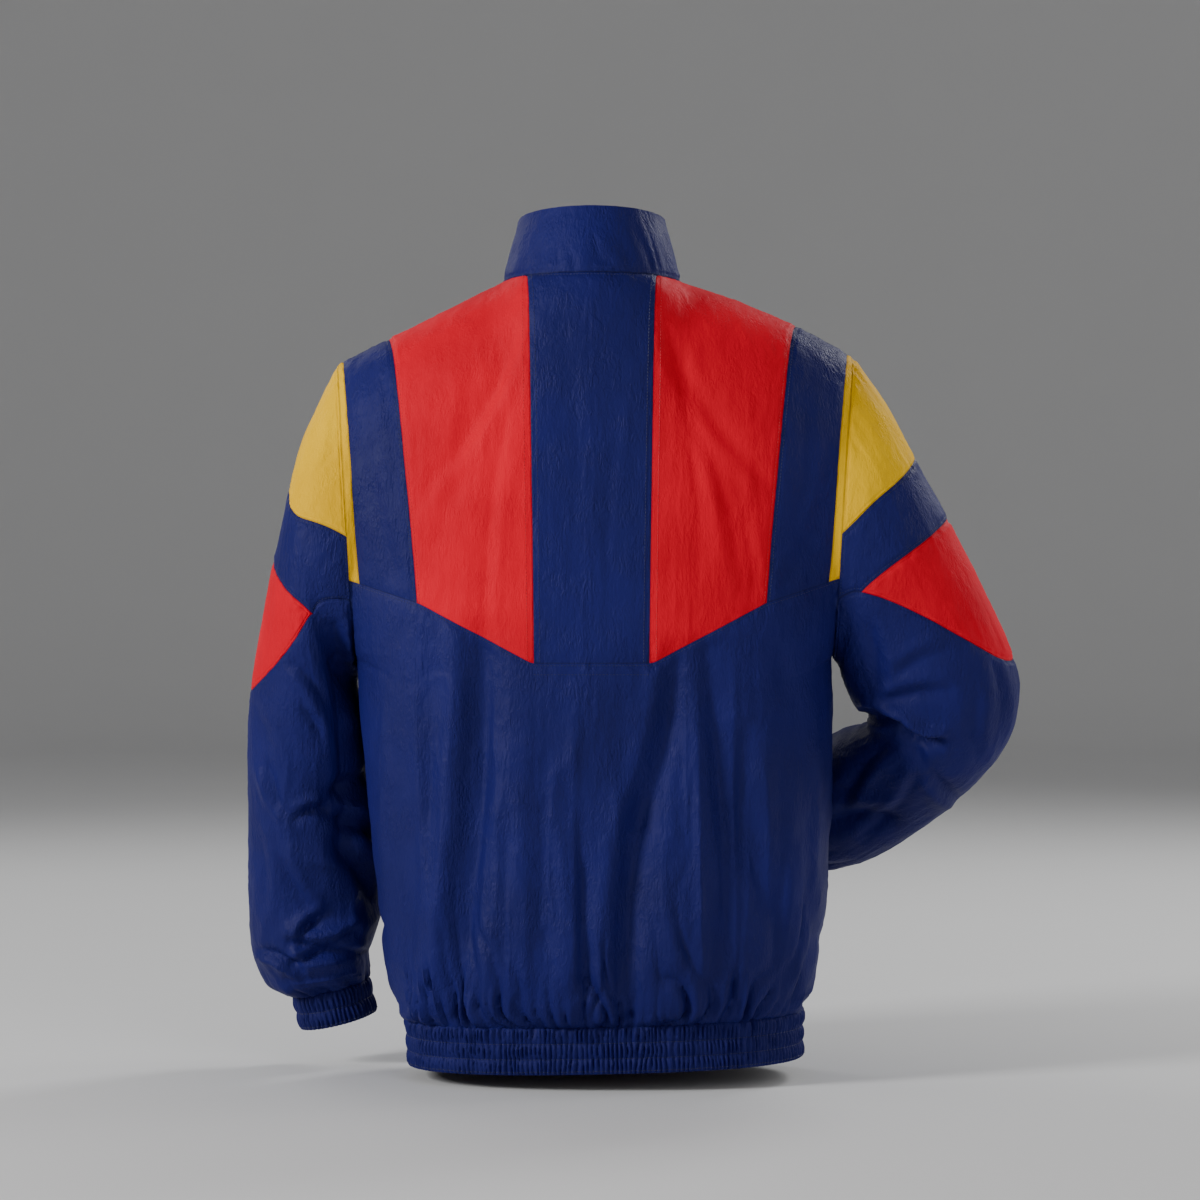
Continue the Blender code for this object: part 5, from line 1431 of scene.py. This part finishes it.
def stitch_runs(line, ways):
    """Starts, middles, ends and normals of the stitches along a line."""
    run = arc_lengths(line)
    places = np.arange(STITCH_PITCH * FIRST_STITCH, run[-1] - STITCH_PITCH * LAST_STITCH,
                       STITCH_PITCH)
    found = [read_at(places + shift * STITCH_LENGTH, run, line) for shift in (-0.5, 0.0, 0.5)]
    return found + [unit(read_at(places, run, ways))]


def stitched(name, lines, finish):
    """Rows of stitches as one piece: short threads that dip into the cloth at their ends."""
    vertices, faces = [], []
    for line, ways in lines:
        start, middle, end, normal = stitch_runs(line, ways)
        aside = unit(np.cross(end - start, normal))
        for place, (up, side) in enumerate(zip(normal, aside)):
            base = len(vertices)
            for point, lift in ((start[place], -THREAD_DIP), (middle[place], THREAD_RISE),
                                (end[place], -THREAD_DIP)):
                centre = point + up * lift
                for across, out in ((1.0, 0.0), (0.0, 1.0), (-1.0, 0.0), (0.0, -1.0)):
                    vertices.append(centre + (side * across + up * out) * THREAD_RADIUS)
            for ring in (0, 4):
                for k in range(4):
                    a, b = base + ring + k, base + ring + (k + 1) % 4
                    faces.append((a, b, b + 4, a + 4))
            faces += [tuple(base + k for k in cap) for cap in ((3, 2, 1, 0), (8, 9, 10, 11))]
    mesh_piece(name, np.array(vertices), faces, finish=finish)


# Rows of topstitching: panel, border and how far inside it.
rows = [("back_centre", "left", 0.0052), ("back_centre", "right", 0.0052),
        ("back_centre", "top", 0.0030),
        ("back_lower", "top", 0.0022, *YOKE_MIDDLE), ("back_lower", "top", 0.0100, *YOKE_MIDDLE),
        ("back_lower", "top", 0.0026, 0.0, YOKE_MIDDLE[0]),
        ("back_lower", "top", 0.0026, YOKE_MIDDLE[1], 1.0)]
for side in SIDES:
    rows += [(f"back_side_{side}", "left", 0.0028), (f"sleeve_band_{side}", "bottom", 0.0028),
             (f"sleeve_band_{side}", "top", 0.0028), (f"front_{side}", "left", 0.0075),
             (f"front_{side}", "top", 0.0030)]
rows += [("collar", "left", 0.0060), ("collar", "right", 0.0060)]
stitched("seam_stitching", [inside_line(*row) for row in rows], "navy_thread")
stitched("red_stitching", [inside_line(f"back_red_{side}", *row) for side in SIDES
                           for row in (("left", 0.0060), ("right", 0.0030))], "red_thread")


def band_rows(outer, out, tiers, around):
    """The rows of elastic stitching round a band, and the one near its foot."""
    found = []
    for tier in range(1, tiers + 1):
        row = min(round(tier * (len(outer) - 1) / tiers), len(outer) - 3)
        line = outer[row] + out * BAND_STITCH_RISE
        found.append([closed(values[None])[0] if around else values for values in (line, out)])
    return found


stitched("band_stitching", band_rows(hem_grid, hem_out, HEM_TIERS, False)
         + [row for side in SIDES for row in band_rows(*cuffs[side], CUFF_TIERS, True)],
         "navy_thread")


# ------------------------------------------------------------------ zip
ZIP_TAPE_REACH, ZIP_TAPE_WALL = 0.014, 0.0010
TAPE_DEPTH = 0.00205             # its outer face, behind the front of the cloth
TAPE_GAP = 0.00015               # between each half and the middle line
# The cord along the tape's edge, as places from the front's edge and behind its face.
CORD_ASIDE, CORD_DEPTH = (-0.0007, -0.0016), (-0.0003, 0.0002)
TOOTH_PITCH, TOOTH_LINE, TOOTH_RISE = 0.0024, 0.0026, 0.00045
TOOTH_HALF = (0.00155, 0.00065, 0.000468)    # aside, out and along the zip
TOOTH_BACK = 0.0002              # how far a tooth is drawn towards the other row
ZIP_START, ZIP_END = 0.0012, 0.0030      # how far the teeth keep from the zip's foot and top
FOOT_ROWS = 20                   # rows of the zip over the hem band
# Corners of a tooth, whose front is narrower, and its faces.
TOOTH = ((-1, -1, -1), (1, -1, -1), (1, 1, -0.7), (-1, 1, -0.7),
         (-1, -1, 1), (1, -1, 1), (1, 1, 0.7), (-1, 1, 0.7))
TOOTH_FACES = ((0, 3, 2, 1), (4, 5, 6, 7), (0, 1, 5, 4), (1, 2, 6, 5), (2, 3, 7, 6), (3, 0, 4, 7))


def zip_path(side):
    """Edge points from the foot of the hem band up to the collar's top, with two directions."""
    front, rail = by_name[f"front_{side}"], by_name["collar"]
    column, beside = (0, 1) if side == "left" else (-1, -2)
    edge = np.concatenate((front.grid[:, 0], rail.grid[1:, column]))
    away = np.concatenate((front.grid[:, 1], rail.grid[1:, beside]))
    normal = np.concatenate((front.normals[:, 0], rail.normals[1:, column]))
    along = unit(away - edge)
    normal = unit(normal - (normal * along).sum(axis=-1, keepdims=True) * along)
    up = np.linspace(1.0, 0.0, FOOT_ROWS, endpoint=False)[:, None]
    foot = edge[:1] - HEM_UP * BAND_HEIGHT * up
    return (np.concatenate((foot, edge)),
            *(np.concatenate((np.tile(values[:1], (FOOT_ROWS, 1)), values))
              for values in (along, normal)))


def turned(faces, sign):
    """Faces that point out on the left, made to point out on their own side."""
    return faces if sign > 0.0 else [face[::-1] for face in faces]


def zip_tape(side, sign, edge, along, normal):
    """The tape behind a front's edge, with its cord, as a tube of one section."""
    back = -TAPE_DEPTH - ZIP_TAPE_WALL
    section = ((-ZIP_HALF_WIDTH, back), (ZIP_TAPE_REACH - ZIP_HALF_WIDTH, back),
               (ZIP_TAPE_REACH - ZIP_HALF_WIDTH, -TAPE_DEPTH), (CORD_ASIDE[0], -TAPE_DEPTH),
               (CORD_ASIDE[0], CORD_DEPTH[0]), (CORD_ASIDE[1], CORD_DEPTH[1]),
               (-ZIP_HALF_WIDTH, CORD_DEPTH[1]))
    rings = []
    for aside, depth in section:
        points = edge + along * aside + normal * depth
        if aside == -ZIP_HALF_WIDTH:
            points[:, 0] = edge[:, 0] - sign * (ZIP_HALF_WIDTH - TAPE_GAP)
        rings.append(points)
    number = np.arange(len(edge) * len(section)).reshape(len(edge), len(section))
    faces = [tuple(face) for face in quads(closed(number)).tolist()]
    faces += [tuple(number[0, ::-1].tolist()), tuple(number[-1].tolist())]
    tape = mesh_piece(f"zip_tape_{side}", np.stack(rings, axis=1).reshape(-1, 3),
                      turned(faces, sign), "zip_tape")
    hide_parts(f"zip_half_{side}")


def zip_teeth(side, sign, edge, along, normal):
    """A row of moulded teeth on the cord. The right row stands half a pitch higher."""
    run = arc_lengths(edge)
    start = ZIP_START + (0.0 if sign > 0.0 else TOOTH_PITCH / 2.0)
    places = np.arange(start, run[-1] - ZIP_END, TOOTH_PITCH)
    middle, out, way = (read_at(places, run, values) for values in
                        (edge - along * TOOTH_LINE, normal, np.gradient(edge, axis=0)))
    across = unit(along[0] * (1.0, 0.0, 0.0))
    vertices, faces = [], []
    for centre, front, up in zip(middle, unit(out), unit(way)):
        centre = centre - across * TOOTH_BACK + front * TOOTH_RISE
        faces += [tuple(len(vertices) + k for k in face) for face in TOOTH_FACES]
        vertices += [centre + across * a * TOOTH_HALF[0] + front * b * TOOTH_HALF[1]
                     + up * c * TOOTH_HALF[2] for a, b, c in TOOTH]
    mesh_piece(f"zip_teeth_{side}", np.array(vertices), turned(faces, sign), "zip_tape",
               "zip_teeth")


for side, sign in SIDES.items():
    path = zip_path(side)
    zip_tape(side, sign, *path)
    zip_teeth(side, sign, *path)


# ------------------------------------------------------------------ light, floor and camera
AIM = Vector((0.0, 0.0, -0.33))      # the middle of the jacket
# Lamps: place, width and height, and watts.
LAMPS = {
    "key light": ((2.7, 1.6, 0.85), (0.7, 0.9), 82.0),
    "fill light": ((-1.3, 2.9, 0.6), (1.4, 1.6), 18.0),
    "edge light": ((-1.9, -0.5, 0.2), (0.5, 1.4), 7.0),
    "front key": ((-2.0, -2.3, 1.7), (0.9, 1.0), 46.0),
    "front fill": ((1.7, -2.4, 1.3), (1.2, 1.4), 14.0),
}
FLOOR_GAP = 0.012                    # the floor lies this far below the jacket
SWEEP_FLAT, SWEEP_BEND, SWEEP_HEIGHT = 7.0, 2.5, 7.0
SWEEP_STEPS, SWEEP_COLUMNS = 12, 96
PAPER, PAPER_CLOUDS = 0.78, 0.01     # how pale the floor is, and how much that varies
CAMERA_PLACE, CAMERA_LENS, CAMERA_SENSOR = (-0.0072, 3.2, -0.284), 106.7, 36.0


def light(name, place, size, power):
    data = bpy.data.lights.new(name, "AREA")
    data.shape, data.size, data.size_y = "RECTANGLE", *size
    data.energy = power
    lamp = add_object(name, data)
    lamp.location = place
    lamp.rotation_euler = (AIM - Vector(place)).to_track_quat("-Z", "Y").to_euler()


def sweep(level):
    """A round studio sweep: a level floor that curves up into a wall all round."""
    profile = [(0.0, 0.0), (SWEEP_FLAT * 0.5, 0.0)]
    for i in range(SWEEP_STEPS + 1):
        turn = math.pi / 2 * i / SWEEP_STEPS
        profile.append((SWEEP_FLAT + SWEEP_BEND * math.sin(turn),
                        SWEEP_BEND * (1.0 - math.cos(turn))))
    profile.append((SWEEP_FLAT + SWEEP_BEND, SWEEP_HEIGHT))
    turns = np.linspace(0.0, 2.0 * math.pi, SWEEP_COLUMNS, endpoint=False)
    grid = np.array([[(r * math.cos(t), r * math.sin(t), level + z) for t in turns]
                     for r, z in profile])
    number = np.arange(len(profile) * SWEEP_COLUMNS).reshape(-1, SWEEP_COLUMNS)
    floor = add_mesh("studio_sweep", grid.reshape(-1, 3), quads(closed(number)).tolist())
    paper = Finish("floor_paper", (PAPER,) * 3, 0.92, Specular_IOR_Level=0.2)
    tone = paper.blend(paper.noise(3.0), (PAPER - PAPER_CLOUDS,) * 3, (PAPER + PAPER_CLOUDS,) * 3)
    floor.data.materials.append(paper.set(Base_Color=tone))


for name, settings in LAMPS.items():
    light(name, *settings)
sweep(float(cad_box[0][2]) - FLOOR_GAP)

world = bpy.data.worlds.new("studio")
world.use_nodes = True
world.node_tree.nodes["Background"].inputs["Color"].default_value = (0.90, 0.90, 0.91, 1.0)
world.node_tree.nodes["Background"].inputs["Strength"].default_value = 0.25
bpy.context.scene.world = world

camera_data = bpy.data.cameras.new("camera")
camera_data.lens, camera_data.sensor_width = CAMERA_LENS, CAMERA_SENSOR
camera = add_object("camera", camera_data)
camera.location = CAMERA_PLACE
camera.rotation_euler = (math.pi / 2, 0.0, math.pi)
bpy.context.scene.camera = camera
